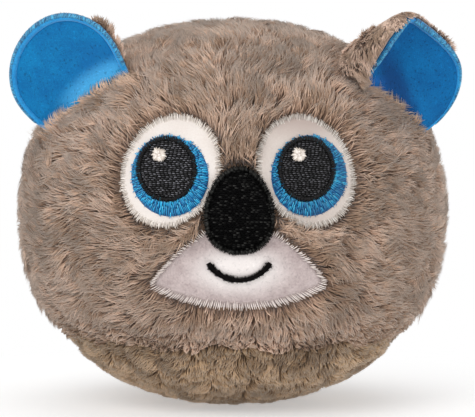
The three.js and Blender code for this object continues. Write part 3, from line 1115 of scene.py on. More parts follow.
class Pile:
    """Grows pile as mesh hairs."""

    def __init__(self, style: PileStyle) -> None:
        """Keeps the style and its random numbers."""
        self.style = style
        self.rng = np.random.default_rng(style.seed)

    def clumps(self, roots: Array, step: float) -> tuple[Array, Array]:
        """Gathers roots in clumps.

        Args:
            roots: where the hairs start.
            step: about the distance between two clumps.

        Returns:
            Each hair's clump, and the clumps' middles.
        """
        cells = np.floor((roots + self.rng.uniform(0, step, 3)) / step).astype(int)
        _, first = np.unique(cells, axis=0, return_index=True)
        centres = roots[first] + self.rng.normal(0, step / 5, (len(first), 3))
        tree = kdtree.KDTree(len(centres))
        for i, centre in enumerate(centres):
            tree.insert(centre, i)
        tree.balance()
        return np.array([tree.find(root)[1] for root in roots]), centres

    def paths(self, roots: Array, normals: Array, comb: Array, height: Array, sweep: Array) -> tuple[Array, Array]:
        """Bends each hair from its root into its tip.

        Args:
            roots: where the hairs start.
            normals: the ways out of the cloth.
            comb: the ways that the pile lies.
            height: how far each tip stands over its root.
            sweep: how far each tip lies along the comb.

        Returns:
            Points along each hair, and a tone from 0 to 1 for each.
        """
        style, rng = self.style, self.rng
        clump, centres = self.clumps(roots, style.clump)
        tuft, middles = self.clumps(roots, style.tuft)
        count, groups, tufts = len(roots), len(centres), len(middles)
        turn = (rng.normal(0, style.tuft_turn, tufts)[tuft] + rng.normal(0, style.clump_turn, groups)[clump]
                + rng.normal(0, style.stray, count))
        comb = unit(swing(comb, normals, np.radians(turn)))
        out_of_tuft = np.linalg.norm(roots - middles[tuft], axis=1) / style.tuft
        tall = height * np.clip(
            style.tall - style.tuft_dip * ease(out_of_tuft, *style.tuft_edge)
            + rng.normal(0, style.clump_rough, groups)[clump] + rng.normal(0, style.rough, count), *style.tall_range)
        far = sweep * (1 + rng.normal(0, style.uneven, tufts)[tuft] + rng.normal(0, style.uneven, groups)[clump]
                       + rng.normal(0, style.uneven, count))
        share = np.linspace(0, 1, style.steps)
        share[1:-1] **= 0.9
        rise, lean = 1 - (1 - share) ** style.rise_curve, share**style.lean_curve
        gather = share**style.gather_curve
        pull = style.pull * rng.uniform(*style.pull_range, groups)[clump]
        paths = (
            roots[:, None]
            + normals[:, None] * (tall[:, None] * rise)[..., None]
            + comb[:, None] * (far[:, None] * lean)[..., None]
            + lay(centres[clump] - roots, normals)[:, None] * (pull[:, None] * gather)[..., None]
            + lay(middles[tuft] - roots, normals)[:, None] * (style.tuft_pull * gather)[:, None]
        )
        tones = 0.5 + style.tuft_tone * rng.normal(size=tufts)[tuft] + style.clump_tone * rng.normal(size=groups)[clump]
        tones = tones + style.hair_tone * rng.normal(size=count) + style.slow_tone * wander(roots, 0.016, 5)
        return paths, np.clip(tones, 0, 0.999)

    def grow(self, name: str, paths: Array, normals: Array, tones: Array) -> Piece:
        """Makes the hairs of one piece.

        Args:
            name: the piece's name.
            paths: points along each hair.
            normals: the ways out of the cloth.
            tones: a tone for each.

        Returns:
            The piece.
        """
        taper = np.interp(np.linspace(0, 1, paths.shape[1]), [0, 0.4, 0.8, 1], [0.8, 1.0, 0.7, 0.0])
        varied = self.style.width / 2 * self.rng.uniform(0.75, 1.25, len(paths))
        return strands(name, paths, normals, varied[:, None] * taper, tones)


@dataclass
class CoatLayout:
    """Where the coat's cloth lies under its pile, and how the pile is combed."""

    deep: float = 0.0032
    base_deep: float = 0.003
    base_top: float = 0.001
    patch_deep: float = 0.0047
    base_seam: float = 0.016
    side_seam: float = -0.014
    base_seam_dip: float = 0.0008
    seam_dip: float = 0.0004
    seam_width: float = 0.002
    base_seam_width: float = 0.0022
    base_blend: float = 0.005
    patch_edge: float = 0.0016
    face_until: float = -0.015
    behind: Pair = (-0.012, 0.026)
    crown: Pair = (0.066, 0.085)
    crown_width: float = 0.014
    parting: float = 0.55
    parting_width: float = 0.004
    swirls: tuple[tuple[float, float, int], ...] = ((22.0, 0.03, 3), (14.0, 0.011, 4))

    def gaps(self, points: Array, margin: float = 0.0029) -> tuple[Array, Array]:
        """How far hairs at these roots come up from the nearest patch of the face.

        Args:
            points: roots on the cloth.
            margin: height over the cloth at which the gap is read.

        Returns:
            Distances, and the ways away from the patches in space.
        """
        normals = BALL.normals(points)
        raised = points + normals * margin
        flat = np.stack([raised[:, 0], raised[:, 2] - BALL.face_level], axis=1)
        outlines = [EYES[side].patch() for side in Side] + [MUZZLE.outline(), NOSE.outline()]
        best = np.full(len(points), 1.0)
        away = np.zeros((len(points), 2))
        front = np.nonzero(points[:, 1] < self.face_until)[0]
        for outline in outlines:
            gap, way = clearance(flat[front], outline)
            closer = gap < best[front]
            best[front[closer]] = gap[closer]
            away[front[closer]] = way[closer]
        space = np.stack([away[:, 0], np.zeros(len(points)), away[:, 1]], axis=1)
        return best, unit(lay(space, normals))

    def cloth_depth(self, ways: Array) -> Array:
        """Depth of the cloth's outer face under the fur.

        Args:
            ways: unit ways from the ball's middle.

        Returns:
            One depth for each, deeper at the seams and under the face.
        """
        points = BALL.place(ways, self.deep)
        low = ease(points[:, 2], self.base_seam, self.base_seam - self.base_blend)
        depth = self.deep + (self.base_deep - self.deep) * low
        gap, _ = self.gaps(points, 0.001)
        depth = depth + (self.patch_deep - depth) * ease(gap, self.patch_edge, 0.0)
        over = points[:, 2] > self.base_seam
        side = np.where(over, np.abs(points[:, 1] - self.side_seam), 1.0)
        rear = np.where(over & (points[:, 1] > self.side_seam), np.abs(points[:, 0]), 1.0)
        depth = depth + self.base_seam_dip * np.exp(-((points[:, 2] - self.base_seam) / self.base_seam_width) ** 2)
        return depth + self.seam_dip * np.exp(-((np.minimum(side, rear) / self.seam_width) ** 2))

    def comb(self, points: Array, normals: Array) -> Array:
        """The way that the pile lies: out from the nose in front, down behind, parted on the crown.

        Args:
            points: places on the coat.
            normals: the ways out of the cloth.

        Returns:
            Unit ways.
        """
        nose = np.array([0.0, -BALL.half_depth, BALL.face_level + 0.001])
        out = unit(lay(points - nose, normals))
        down = lay(np.tile([0.0, 0.0, -1.0], (len(points), 1)), normals)
        behind = ease(points[:, 1], *self.behind)
        comb = unit(out * (1 - behind)[:, None] + down * behind[:, None])
        crown = ease(points[:, 2], *self.crown) * np.exp(-np.abs(points[:, 0]) / self.crown_width)
        comb[:, 0] += np.tanh(points[:, 0] / self.parting_width) * self.parting * crown
        swirl = np.radians(sum(most * wander(points, length, seed) for most, length, seed in self.swirls))
        return swing(unit(lay(comb, normals)), normals, swirl)


LAYOUT = CoatLayout()


def scatter(count: int, seed: int) -> Array:
    """Even, slightly disturbed ways over a whole sphere.

    Args:
        count: how many.
        seed: picks the disturbance.

    Returns:
        Unit ways.
    """
    rng = np.random.default_rng(seed)
    at = np.arange(count) + 0.5
    rise = 1 - 2 * at / count
    turn = at * math.pi * (1 + 5**0.5)
    flat = np.sqrt(1 - rise**2)
    ways = np.stack([flat * np.cos(turn), flat * np.sin(turn), rise], axis=1)
    return unit(ways + rng.normal(0, 1.1 / math.sqrt(count), ways.shape))


@dataclass
class StuffedBody:
    """The stuffed ball: its cloth panels, their pile and what fills them."""

    finishes: Finishes
    ears: list["Ear"]
    cloth: float = 0.001
    root_depth: float = 0.0002
    long_hairs: int = 99440
    under_hairs: int = 61020
    base_hairs: int = 165000
    hairs_a_piece: int = 18400
    seam_rise: float = 0.002
    seam_wave: Pair = (0.0009, 0.009)
    seam_overlap: float = 0.0002
    filling_depth: float = 0.0086
    pouch_top: float = 0.0208
    filling_bottom: float = 0.0212
    seam_fade: float = 0.013
    seam_sink: float = 0.0009
    seam_sweep: float = 0.12
    seam_dark: float = 0.15
    gap_least: float = 0.0003
    gap_width: float = 0.0018
    gap_comb: float = 1.5
    gap_sweep: float = 0.35
    gap_dark: float = 0.3
    gap_dark_width: float = 0.0013
    chin: Pair = (0.034, 0.018)
    chin_width: float = 0.021
    chin_light: float = 0.42
    cheek: Pair = (0.058, 0.03)
    cheek_dark: float = 0.2
    long_sink: float = 0.0001
    under_sink: float = 0.0007
    base_near: float = 0.003
    base_low: float = 0.25
    base_dark: float = 0.36
    lowest: float = 0.0002
    long: PileStyle = PileStyle(11, width=0.00025)
    under: PileStyle = PileStyle(12, 0.0038, 0.00032, pull=0.35, stray=14)
    short: PileStyle = PileStyle(13, 0.0021, 0.00024, clump=0.0015, pull=0.5, stray=14)

    def panel(self, node: Coat) -> None:
        """Makes one cloth panel.

        Args:
            node: which panel.
        """
        piece, ways = globe(node.value.replace("panel", "cloth"), 120, 72)
        reshape(piece, BALL.place(ways, LAYOUT.cloth_depth(ways)))
        seam, side = (0, 0, LAYOUT.base_seam), (0, LAYOUT.side_seam, 0)
        cuts = {
            Coat.FACE: [(seam, (0, 0, -1)), (side, (0, 1, 0))],
            Coat.BACK_LEFT: [(seam, (0, 0, -1)), (side, (0, -1, 0)), ((0, 0, 0), (1, 0, 0))],
            Coat.BACK_RIGHT: [(seam, (0, 0, -1)), (side, (0, -1, 0)), ((0, 0, 0), (-1, 0, 0))],
            Coat.BASE: [(seam, (0, 0, 1))],
        }[node]
        with editing(piece):
            for place, way in cuts:
                bpy.ops.mesh.select_all(action="SELECT")
                bpy.ops.mesh.bisect(plane_co=place, plane_no=way, clear_outer=True)
        solidify(piece, self.cloth)
        face_out(piece)
        finish, slot = (self.finishes.base_skin, "base_cloth") if node is Coat.BASE else (self.finishes.skin, "coat")
        dress(piece, finish, slot, node.value, fill=0.85)

    def stuffing(self) -> None:
        """Makes the fibre filling and the pellet pouch."""
        for node, way, level, slot, material in (
            ("fibre_filling", -1, self.filling_bottom, "filling", self.finishes.fill),
            ("pellet_pouch", 1, self.pouch_top, "pellets", self.finishes.pouch),
        ):
            piece, ways = globe(node.replace("_", "_stuffed_", 1), 64, 40)
            reshape(piece, BALL.place(ways, self.filling_depth + 0.00035 * wander(ways * 0.04, 0.012, 8)))
            with editing(piece):
                bpy.ops.mesh.bisect(plane_co=(0, 0, level), plane_no=(0, 0, way), clear_outer=True, use_fill=True)
            face_out(piece)
            dress(piece, material, slot, node, fill=0.8)

    def long_pile(self, label: str, total: int, style: PileStyle, sink: float) -> None:
        """Grows one layer of the coat's long pile.

        Args:
            label: the layer's word in its pieces' names.
            total: hairs over the whole ball.
            style: how they grow.
            sink: how far their tips stay under the fur's surface.
        """
        ways = scatter(total, style.seed)
        roots = BALL.place(ways, LAYOUT.cloth_depth(ways) + self.root_depth)
        gap, away = LAYOUT.gaps(roots)
        keep = (roots[:, 2] > self.pile_seam(roots) - self.seam_overlap) & (gap > self.gap_least)
        ways, roots, gap, away = ways[keep], roots[keep], gap[keep], away[keep]
        normals = BALL.normals(roots)
        near = np.exp(-gap / self.gap_width)
        comb = unit(LAYOUT.comb(roots, normals) + away * (self.gap_comb * near)[:, None])
        low = ease(roots[:, 2], LAYOUT.base_seam + self.seam_rise, LAYOUT.base_seam + self.seam_fade)
        height = LAYOUT.cloth_depth(ways) - sink - self.seam_sink * (1 - low)
        grower = Pile(style)
        sweep = style.sweep * (self.seam_sweep + (1 - self.seam_sweep) * low) * (1 - self.gap_sweep * near)
        paths, tones = grower.paths(roots, normals, comb, height, sweep)
        # Painted light on the middle of the chin and painted shade on the lower cheeks, in the pile's tone.
        middle, front = np.exp(-(roots[:, 0] / self.chin_width) ** 2), roots[:, 1] < 0
        tones = tones + self.chin_light * middle * ease(roots[:, 2], *self.chin) * front
        tones = tones - self.cheek_dark * (1 - middle) * ease(roots[:, 2], *self.cheek) * front
        # Painted shade on the pile in the recess round the sunk eye, muzzle and nose patches.
        tones = tones - self.gap_dark * np.exp(-gap / self.gap_dark_width)
        # Painted shade on the long pile just over the base seam.
        tones = np.clip(tones - self.seam_dark * (1 - low), 0, 0.999)
        for ear in self.ears:
            paths = ear.part_pile(paths)
        self.pieces(grower, f"coat_{label}_pile", paths, normals, tones, self.finishes.coat, "coat")

    def pile_seam(self, roots: Array) -> Array:
        """Height at which the short pile gives way to the long pile."""
        high, length = self.seam_wave
        return LAYOUT.base_seam + self.seam_rise + high * wander(roots * [1, 1, 0], length, 6)

    def base_pile(self) -> None:
        """Grows the base panel's short pile."""
        ways = scatter(self.base_hairs, self.short.seed)
        roots = BALL.place(ways, LAYOUT.cloth_depth(ways) + self.root_depth)
        keep = roots[:, 2] < self.pile_seam(roots)
        ways, roots = ways[keep], roots[keep]
        normals = BALL.normals(roots)
        near = ease(roots[:, 2], LAYOUT.base_seam - self.base_near, LAYOUT.base_seam + self.seam_rise)
        height = (LAYOUT.cloth_depth(ways) - LAYOUT.base_top) * (1 - self.base_low * near)
        grower = Pile(self.short)
        paths, tones = grower.paths(roots, normals, LAYOUT.comb(roots, normals), height,
                                    np.full(len(roots), self.short.sweep))
        paths[..., 2] = np.maximum(paths[..., 2], self.lowest)
        # Painted shade on the short pile just under the base seam.
        tones = np.clip(tones - self.base_dark * near, 0, 0.999)
        self.pieces(grower, "base_pile", paths, normals, tones, self.finishes.base, "base_cloth")

    def pieces(self, grower: Pile, name: str, paths: Array, normals: Array, tones: Array,
               material: Material, slot: str) -> None:
        """Splits pile into pieces by where it grows, and dresses each.

        Args:
            grower: of the pile.
            name: the pieces' common name.
            paths: points along each hair.
            normals: the ways out of the cloth.
            tones: a tone for each hair.
            material: their finish.
            slot: the record's material slot.
        """
        order = np.argsort(np.arctan2(paths[:, 0, 0], -paths[:, 0, 1]))
        chunks = np.array_split(order, max(1, math.ceil(len(order) / self.hairs_a_piece)))
        for number, chunk in enumerate(chunks, 1):
            piece = grower.grow(f"{name}_{number}", paths[chunk], normals[chunk], tones[chunk])
            dress(piece, material, slot)

    def build(self) -> None:
        """Builds the whole body."""
        for node in Coat:
            self.panel(node)
        self.stuffing()
        self.long_pile("long", self.long_hairs, self.long, self.long_sink)
        self.long_pile("under", self.under_hairs, self.under, self.under_sink)
        self.base_pile()


# The face


@dataclass(frozen=True)
class Satin:
    """Satin stitches across a ring, with depths measured under the fur."""

    pitch: float
    thread: float
    seed: int
    inner_depth: float
    outer_depth: float
    lift: float
    inner_jag: float
    outer_jag: float
    skew: float = 1.0
    broken: bool = False

    def sew(self, name: str, inner: Array, outer: Array) -> Piece:
        """Sews the ring.

        Args:
            name: the piece's name.
            inner: the ring's inner outline.
            outer: its outer outline, from the same start.

        Returns:
            The piece.
        """
        rng = np.random.default_rng(self.seed)
        length = np.linalg.norm(np.roll(outer, -1, axis=0) - outer, axis=1).sum()
        count = round(length / self.pitch)
        turns = (np.arange(count) + rng.uniform(-0.25, 0.25, count)) / count
        start, end = from_ring(inner, np.mod(turns, 1)), from_ring(outer, np.mod(turns + 0.002, 1))
        way = unit(end - start)
        start = start - way * rng.uniform(-1, 1, (count, 1)) * self.inner_jag
        end = end + way * rng.uniform(-1, 1, (count, 1)) * self.outer_jag
        long_enough = ((end - start) * way).sum(axis=1) > self.thread
        start, end = start[long_enough], end[long_enough]
        low, high = np.full(len(start), self.inner_depth), np.full(len(start), self.outer_depth)
        if self.broken:
            share = rng.uniform(0.25, 0.75, len(start))
            cut, level = start + (end - start) * share[:, None], low + (high - low) * share
            start, end = np.vstack([start, cut]), np.vstack([cut, end])
            low, high = np.concatenate([low, level]), np.concatenate([level, high])
        tones = rng.uniform(0, 1, len(start))
        start, end = BALL.front(start, low), BALL.front(end, high)
        return stitches(name, start, end, self.thread, self.lift, tones, 6, self.skew)


@dataclass(frozen=True)
class Rows:
    """Rows of staggered stitches that cover an outline, with depths measured under the fur."""

    pitch: float
    thread: float
    seed: int
    edge_depth: float
    middle_depth: float
    length: float
    lift: float
    lean: float
    sparse: float = 1.7

    def sew(self, name: str, outline: Array) -> Piece:
        """Sews the rows.

        Args:
            name: the piece's name.
            outline: what the rows cover.

        Returns:
            The piece.
        """
        rng = np.random.default_rng(self.seed)
        middle = outline.mean(axis=0)
        reach = np.abs(outline - middle).max() * 1.1
        turn = math.radians(self.lean)
        spin = np.array([[math.cos(turn), math.sin(turn)], [-math.sin(turn), math.cos(turn)]])
        starts, ends = [], []
        for row in range(int(2 * reach / self.pitch)):
            rise = -reach + (row + 0.5) * self.pitch
            shift = rng.uniform(0, self.length)
            for one in np.arange(-reach - shift, reach + self.length, self.length):
                starts.append((one + rng.normal(0, self.length * 0.04), rise))
                ends.append((one + self.length * 1.04, rise + rng.normal(0, self.pitch * 0.12)))
        steps = 9
        line = lines(np.array(starts) @ spin + middle, np.array(ends) @ spin + middle, np.linspace(0, 1, steps))
        inside = clearance(line.reshape(-1, 2), outline)[0].reshape(len(line), steps) < 0
        first, last = inside.argmax(axis=1), steps - 1 - inside[:, ::-1].argmax(axis=1)
        index = np.nonzero(inside.any(axis=1) & (last - first >= 2))[0]
        points = []
        for place in (line[index, first[index]], line[index, last[index]]):
            across = np.clip(-clearance(place, outline)[0] / (reach * 0.55), 0, 1)
            depth = self.edge_depth + (self.middle_depth - self.edge_depth) * (1 - (1 - across) ** 2)
            points.append(BALL.front(place, depth))
        tones = rng.uniform(0, 1, len(index)) ** self.sparse
        return stitches(name, *points, self.thread, self.lift, tones, 4)


@dataclass
class Eye:
    """One embroidered eye: white patch, blue iris, black pupil and white glint."""

    finishes: Finishes
    side: Side
    patch: Sheet = Sheet(0.0037, 0.0031, 0.0006)
    iris: Sheet = Sheet(0.0032, 0.0029, 0.0003, 6)
    pupil: Sheet = Sheet(0.0027, 0.0025, 0.0004, 8)
    glint: Sheet = Sheet(0.0021, 0.0017, 0.0003, 4)
    border_stitches: Satin = Satin(0.00034, 0.00029, 33, 0.0037, 0.0037, 0.00042, 0.0006, 0.0005, 2.0)
    iris_stitches: Satin = Satin(0.00034, 0.00031, 30, 0.0027, 0.0031, 0.0003, 0.0005, 0.0005, 1.0, True)
    ring_stitches: Satin = Satin(0.00027, 0.00027, 30, 0.0025, 0.0028, 0.0005, 0.0001, 0.0002)
    glint_stitches: Satin = Satin(0.0004, 0.0005, 38, 0.0018, 0.0022, 0.0004, 0.0, 0.00025)
    pupil_rows: Rows = Rows(0.00043, 0.00028, 37, 0.0026, 0.0024, 0.0009, 0.00014, 3)
    border: float = 0.0016
    border_over: float = 0.0003
    iris_tuck: float = 0.0006
    ring_width: float = 0.0013
    rows_inset: float = 0.0011
    glint_inset: float = 0.0014

    def build(self) -> None:
        """Builds the whole eye."""
        finishes, side, word, eye = self.finishes, self.side, self.side.word, EYES[self.side]
        white, black, blue = "white_thread", "black_thread", "blue_thread"

        def own(stitch: Satin) -> Satin:
            """The same stitches with this side's random numbers."""
            return replace(stitch, seed=stitch.seed + side.value)

        dress(self.patch.cut(f"eye_patch_cloth_{word}", eye.patch(0.0003)), finishes.felt[side], white,
              f"eye_patch_{word}")
        dress(own(self.border_stitches).sew(f"eye_border_stitches_{word}", eye.patch(self.border),
                                            eye.patch(-self.border_over)),
              finishes.white[side], white, f"eye_border_{word}")
        dress(self.iris.cut(f"iris_base_{word}", eye.iris()), finishes.blue_base, blue)
        inner = eye.pupil(self.iris_tuck)
        dress(own(self.iris_stitches).sew(f"iris_stitches_{word}", inner, self.around(inner, eye.iris())),
              finishes.blue[side], blue, f"iris_{word}")
        dress(self.pupil.cut(f"pupil_base_{word}", eye.pupil(0.0004)), finishes.black_base, black)
        rows = replace(self.pupil_rows, lean=self.pupil_rows.lean * side.value)
        dress(rows.sew(f"pupil_rows_{word}", eye.pupil(self.rows_inset)), finishes.fleck[side], black, f"pupil_{word}")
        dress(own(self.ring_stitches).sew(f"pupil_ring_{word}", eye.pupil(self.ring_width), eye.pupil()),
              finishes.black, black)
        dress(self.glint_stitches.sew(f"glint_stitches_{word}", eye.glint(self.glint_inset), eye.glint()),
              finishes.white[Side.LEFT], white, f"eye_glint_{word}")
        dress(self.glint.cut(f"glint_base_{word}", eye.glint(0.0003)), finishes.felt[Side.LEFT], white)

    @staticmethod
    def around(inner: Array, outer: Array) -> Array:
        """Meets the outer outline on ways out of the inner one's middle.

        Args:
            inner: the inner outline.
            outer: the outer outline.

        Returns:
            One point of the outer outline for each of the inner one.
        """
        middle = inner.mean(axis=0)
        ways = unit(inner - middle)
        dense = even_ring(outer, 720) - middle
        angles = np.arctan2(dense[:, 1], dense[:, 0])
        order = np.argsort(angles)
        far = np.linalg.norm(dense, axis=1)[order]
        radii = np.interp(np.arctan2(ways[:, 1], ways[:, 0]), angles[order], far, period=2 * math.pi)
        return middle + ways * radii[:, None]


@dataclass
class Muzzle:
    """The muzzle patch with its stitched border and the mouth."""

    finishes: Finishes
    patch: Sheet = Sheet(0.0039, 0.0027, 0.0006, 30, 1.0)
    border_stitches: Satin = Satin(0.00052, 0.0003, 41, 0.0035, 0.0033, 0.0005, 0.0004, 0.0004, 1.3)
    border: float = 0.001
    border_over: float = 0.0009
    low_border: float = 0.0017
    low_over: float = 0.0002
    low_edge: Pair = (-0.0145, -0.0175)
    lip_half: float = 0.0072
    lip_rise: float = -0.0092
    lip_tall: float = 0.0027
    lip_puff: float = 0.0009
    mouth_groove: float = 0.0006
    groove_half: float = 0.0011
    mouth_half: float = 0.000725
    mouth_stitch_count: int = 58
    mouth_depth: float = 0.0023
    mouth_thread: float = 0.0005
    mouth_lift: float = 0.0004
    mouth_seed: int = 43

    def build(self) -> None:
        """Builds the patch, the border and the mouth."""
        patch = self.patch.cut("muzzle_cloth", MUZZLE.outline(0.0003))
        points = corners(patch)
        flat = points[:, [0, 2]] - [0, BALL.face_level]
        near = np.min(np.linalg.norm(flat[:, None] - MUZZLE.mouth(60)[0][None], axis=2), axis=1)
        puff = np.exp(-np.abs(flat[:, 0] / self.lip_half) ** 3 - ((flat[:, 1] - self.lip_rise) / self.lip_tall) ** 2)
        points[:, 1] += self.mouth_groove * np.exp(-((near / self.groove_half) ** 2)) - self.lip_puff * puff
        reshape(patch, points)
        dress(patch, self.finishes.muzzle, "muzzle_cloth", "muzzle_patch", fill=0.2)
        inner, outer = MUZZLE.outline(self.border), MUZZLE.outline(-self.border_over)
        low = ease(outer[:, 1:], *self.low_edge)
        inner = inner + (MUZZLE.outline(self.low_border) - inner) * low
        outer = outer + (MUZZLE.outline(-self.low_over) - outer) * low
        ring = self.border_stitches.sew("muzzle_border_stitches", inner, outer)
        dress(ring, self.finishes.muzzle_edge, "muzzle_cloth", "muzzle_border")
        self.mouth()

    def mouth(self) -> None:
        """Sews the mouth, wider at its ends."""
        count = self.mouth_stitch_count
        line, down = MUZZLE.mouth(count)
        rng = np.random.default_rng(self.mouth_seed)
        from_end = np.minimum(np.arange(count), np.arange(count)[::-1])[:, None]
        half = self.mouth_half * rng.uniform(0.72, 1.22, (count, 1))
        half = half * np.interp(from_end, [0, 1, 2, 4, 8], [0.75, 1.15, 1.25, 1.2, 1.0])
        start, end = (BALL.front(line + down * way, self.mouth_depth) for way in (-half, half))
        piece = stitches("mouth_stitches", start, end, self.mouth_thread, self.mouth_lift, rng.uniform(0, 1, count))
        dress(piece, self.finishes.lip, "black_thread", "mouth")


@dataclass
class Nose:
    """The padded nose."""

    finishes: Finishes
    pad: Sheet = Sheet(0.0022, 0.0004, 0.0008, 14, 1.6)
    rows: Rows = Rows(0.00044, 0.00038, 53, 0.0015, 0.0002, 0.0010, 0.00016, -2, 4.0)
    edge: Satin = Satin(0.00034, 0.00042, 51, 0.0011, 0.0024, 0.0004, 0.0002, 0.00015)
    ridge: float = 0.0013
    rows_inset: float = 0.0009

    def build(self) -> None:
        """Builds the nose's pad, its rows of stitches and its edge."""
        pad = self.pad.cut("nose_pad", NOSE.outline(0.0003))
        dress(pad, self.finishes.black_base, "black_thread", fill=0.7)
        rows = self.rows.sew("nose_rows", NOSE.outline(self.rows_inset))
        dress(rows, self.finishes.nose, "black_thread", "nose")
        edge = self.edge.sew("nose_edge", NOSE.outline(self.ridge), NOSE.outline())
        dress(edge, self.finishes.nose, "black_thread")


# The ears


@dataclass
class Ear:
    """One sewn-on ear: blue front, raised rim and furry back."""

    finishes: Finishes
    side: Side
    outward: Triple
    section: tuple[Pair, ...]
    top_across: float
    half_width: float = 0.0153
    height: float = 0.0231
    widest_at: float = 0.0098
    base_share: float = 0.86
    straight: float = 0.012
    shoulder: float = 0.0175
    rim: float = 0.0019
    rim_front: float = 0.0007
    rim_profile: Triple = (0.75, 1.0, 0.7)
    root_drop: float = 0.002
    root_low: float = -0.0042
    root_high: float = 0.0012
    root_front: float = 0.0016
    root_bend: Pair = (-0.0035, 0.0008)
    inner_end: Triple = (48.0, 41.7, 0.0)
    outer_end: Triple = (70.35, 23.06, 0.0005)
    top_squash: float = 1.0
    inner_draw: float = 0.0
    tilt: float = 0.0
    flare: float = 0.0
    flare_line: float = 0.0073
    flare_slope: float = 0.3
    flare_middle: float = -0.003
    flare_fade: float = 0.0042
    folded: bool = False
    bulge_most: float = 0.003
    bulge_across: Pair = (-0.002, 0.006)
    bulge_high: Pair = (0.014, 0.005)
    bulge_room: Pair = (0.0015, 0.0075)
    crest_across: Pair = (0.0125, 0.0045)
    crest_high: Pair = (0.012, 0.017)
    pile_line: float = 0.0036
    pile_slope: float = 0.0
    pile_squash: float = 0.35
    pile_narrow: float = 0.15
    pile_ahead: float = 0.0016
    pile_behind: float = 0.0025
    pile_reach: Triple = (0.001, 0.012, -0.0045)
    back_hairs: int = 10500
    back_sunk: float = 0.0007
    back_height: float = 0.0017
    fringe: Pair = (0.0115, 0.015)
    edging_stitches: int = 420
    edging_half: float = 0.00015
    cell: float = 0.0006
    cell_start: float = -0.02
    cell_counts: tuple[int, int] = (70, 45)
    step: float = 0.0003
    back_style: PileStyle = PileStyle(72, 0.0026, 0.00026, clump=0.0012, pull=0.1, tuft=0.004, tuft_pull=0.0, stray=8)
    curve: Array = field(init=False)
    cover: Array = field(init=False)
    origin: Array = field(init=False)
    axes: Array = field(init=False)

    def __post_init__(self) -> None:
        """Works out the ear's place and its rolled section."""
        inner, outer = self.sewn_end(self.inner_end), self.sewn_end(self.outer_end)
        along = unit((outer - inner) * self.side.value)
        rough = np.array([self.side.value * self.outward[0], self.outward[1], self.outward[2]])
        out = unit(rough - along * (rough @ along))
        self.axes = np.stack([along, np.cross(out, along), out])
        self.origin = (inner + outer) / 2 - out * self.root_drop
        self.curve = self.rolled()
        self.cover = self.covered()

    @property
    def body(self) -> Body:
        """The body that the ear is."""
        return Body.EAR_LEFT if self.side is Side.LEFT else Body.EAR_RIGHT

    def sewn_end(self, end: Triple) -> Array:
        """One end of the sewn line.

        Args:
            end: degrees round and up from the front, and its depth under the fur.

        Returns:
            The point in space.
        """
        turn, lift = math.radians(end[0]), math.radians(end[1])
        way = np.array([[math.sin(turn) * math.cos(lift), -math.cos(turn) * math.cos(lift), math.sin(lift)]])
        return BALL.place(way, end[2])[0] * [self.side.value, 1, 1]

    def rolled(self) -> Array:
        """The section as a smooth curve of points at equal distances.

        Returns:
            Points from the inner to the outer edge, as (across, forwards).
        """
        points = np.array(self.section)
        points = np.vstack([2 * points[0] - points[1], points, 2 * points[-1] - points[-2]])
        spans = np.linalg.norm(np.diff(points, axis=0), axis=1) ** 0.5
        t = np.linspace(0, 1, 60, endpoint=False)[:, None]
        parts = []
        for i in range(1, len(points) - 2):
            p0, p1, p2, p3 = points[i - 1:i + 3]
            d0, d1, d2 = spans[i - 1:i + 2]
            m1 = ((p1 - p0) / d0 - (p2 - p0) / (d0 + d1) + (p2 - p1) / d1) * d1
            m2 = ((p2 - p1) / d1 - (p3 - p1) / (d1 + d2) + (p3 - p2) / d2) * d1
            parts.append((2 * p1 - 2 * p2 + m1 + m2) * t**3 + (-3 * p1 + 3 * p2 - 2 * m1 - m2) * t**2 + m1 * t + p1)
        return even_line(np.vstack([*parts, points[-2:-1]]), 400)

    def width_share(self, height: Array, inset: float = 0.0) -> Array:
        """Share of the greatest half width.

        Args:
            height: heights over the sewn line.
            inset: how far the ear's top is drawn in.

        Returns:
            One share for each height.
        """
        low = self.base_share + (1 - self.base_share) * np.sin(math.pi / 2 * height / self.widest_at)
        over = (height - self.widest_at) / (self.height - inset - self.widest_at)
        return np.where(height < self.widest_at, low, np.sqrt(np.maximum(0, 1 - over**2)))

    def surface(self, flat: Array) -> Array:
        """Bends the flat ear into its form.

        Args:
            flat: (across, height) places.

        Returns:
            Points of the ear's middle surface, in its own axes.
        """
        height = flat[:, 1]
        share = np.maximum(self.width_share(height), 0.03)
        along = np.clip(flat[:, 0] / (self.half_width * share), -1, 1)
        x, y = between(along, np.linspace(-1, 1, len(self.curve)), self.curve).T
        roll = ease(height, 0.0, self.straight) * share**2
        over = np.maximum(height - self.shoulder, 0)
        high = height - (1 - self.top_squash) * over**2 / (self.height - self.shoulder)
        x = self.top_across + share * (x - self.top_across)
        x = x + self.inner_draw * ease(-along, 0.2, 0.9) * ease(height, 0.013, 0.002)
        high = high + self.tilt * (x - self.top_across) * ease(height, 0.009, 0.019)
        return np.stack([x, roll * y, high], axis=1)

    def offset(self, flat: Array, distance: Array | float) -> Array:
        """Places in space at a distance in front of the ear's middle surface.

        Args:
            flat: (across, height) places.
            distance: in front, or behind if under zero.

        Returns:
            Points in space.
        """
        inwards = np.where(flat[:, :1] > 0, -self.step, self.step) * [1, 0]
        here = self.surface(flat)
        side = (self.surface(flat + inwards) - here) * np.sign(inwards[:, :1])
        up = here - self.surface(flat - [0, self.step])
        side[:, 2] = 0
        front = unit(np.cross(unit(side), unit(up)))
        return self.world(here + front * np.broadcast_to(distance, len(flat))[:, None])

    def towards(self, flat: Array, move: Array | list[float], distance: Array | float) -> Array:
        """Unit ways in space of a small move over the flat ear, at a distance in front of its middle surface."""
        return unit(self.offset(flat + move, distance) - self.offset(flat, distance))

    def world(self, local: Array) -> Array:
        """Points in space of points in the ear's own axes."""
        return self.origin + (local * [self.side.value, 1, 1]) @ self.axes

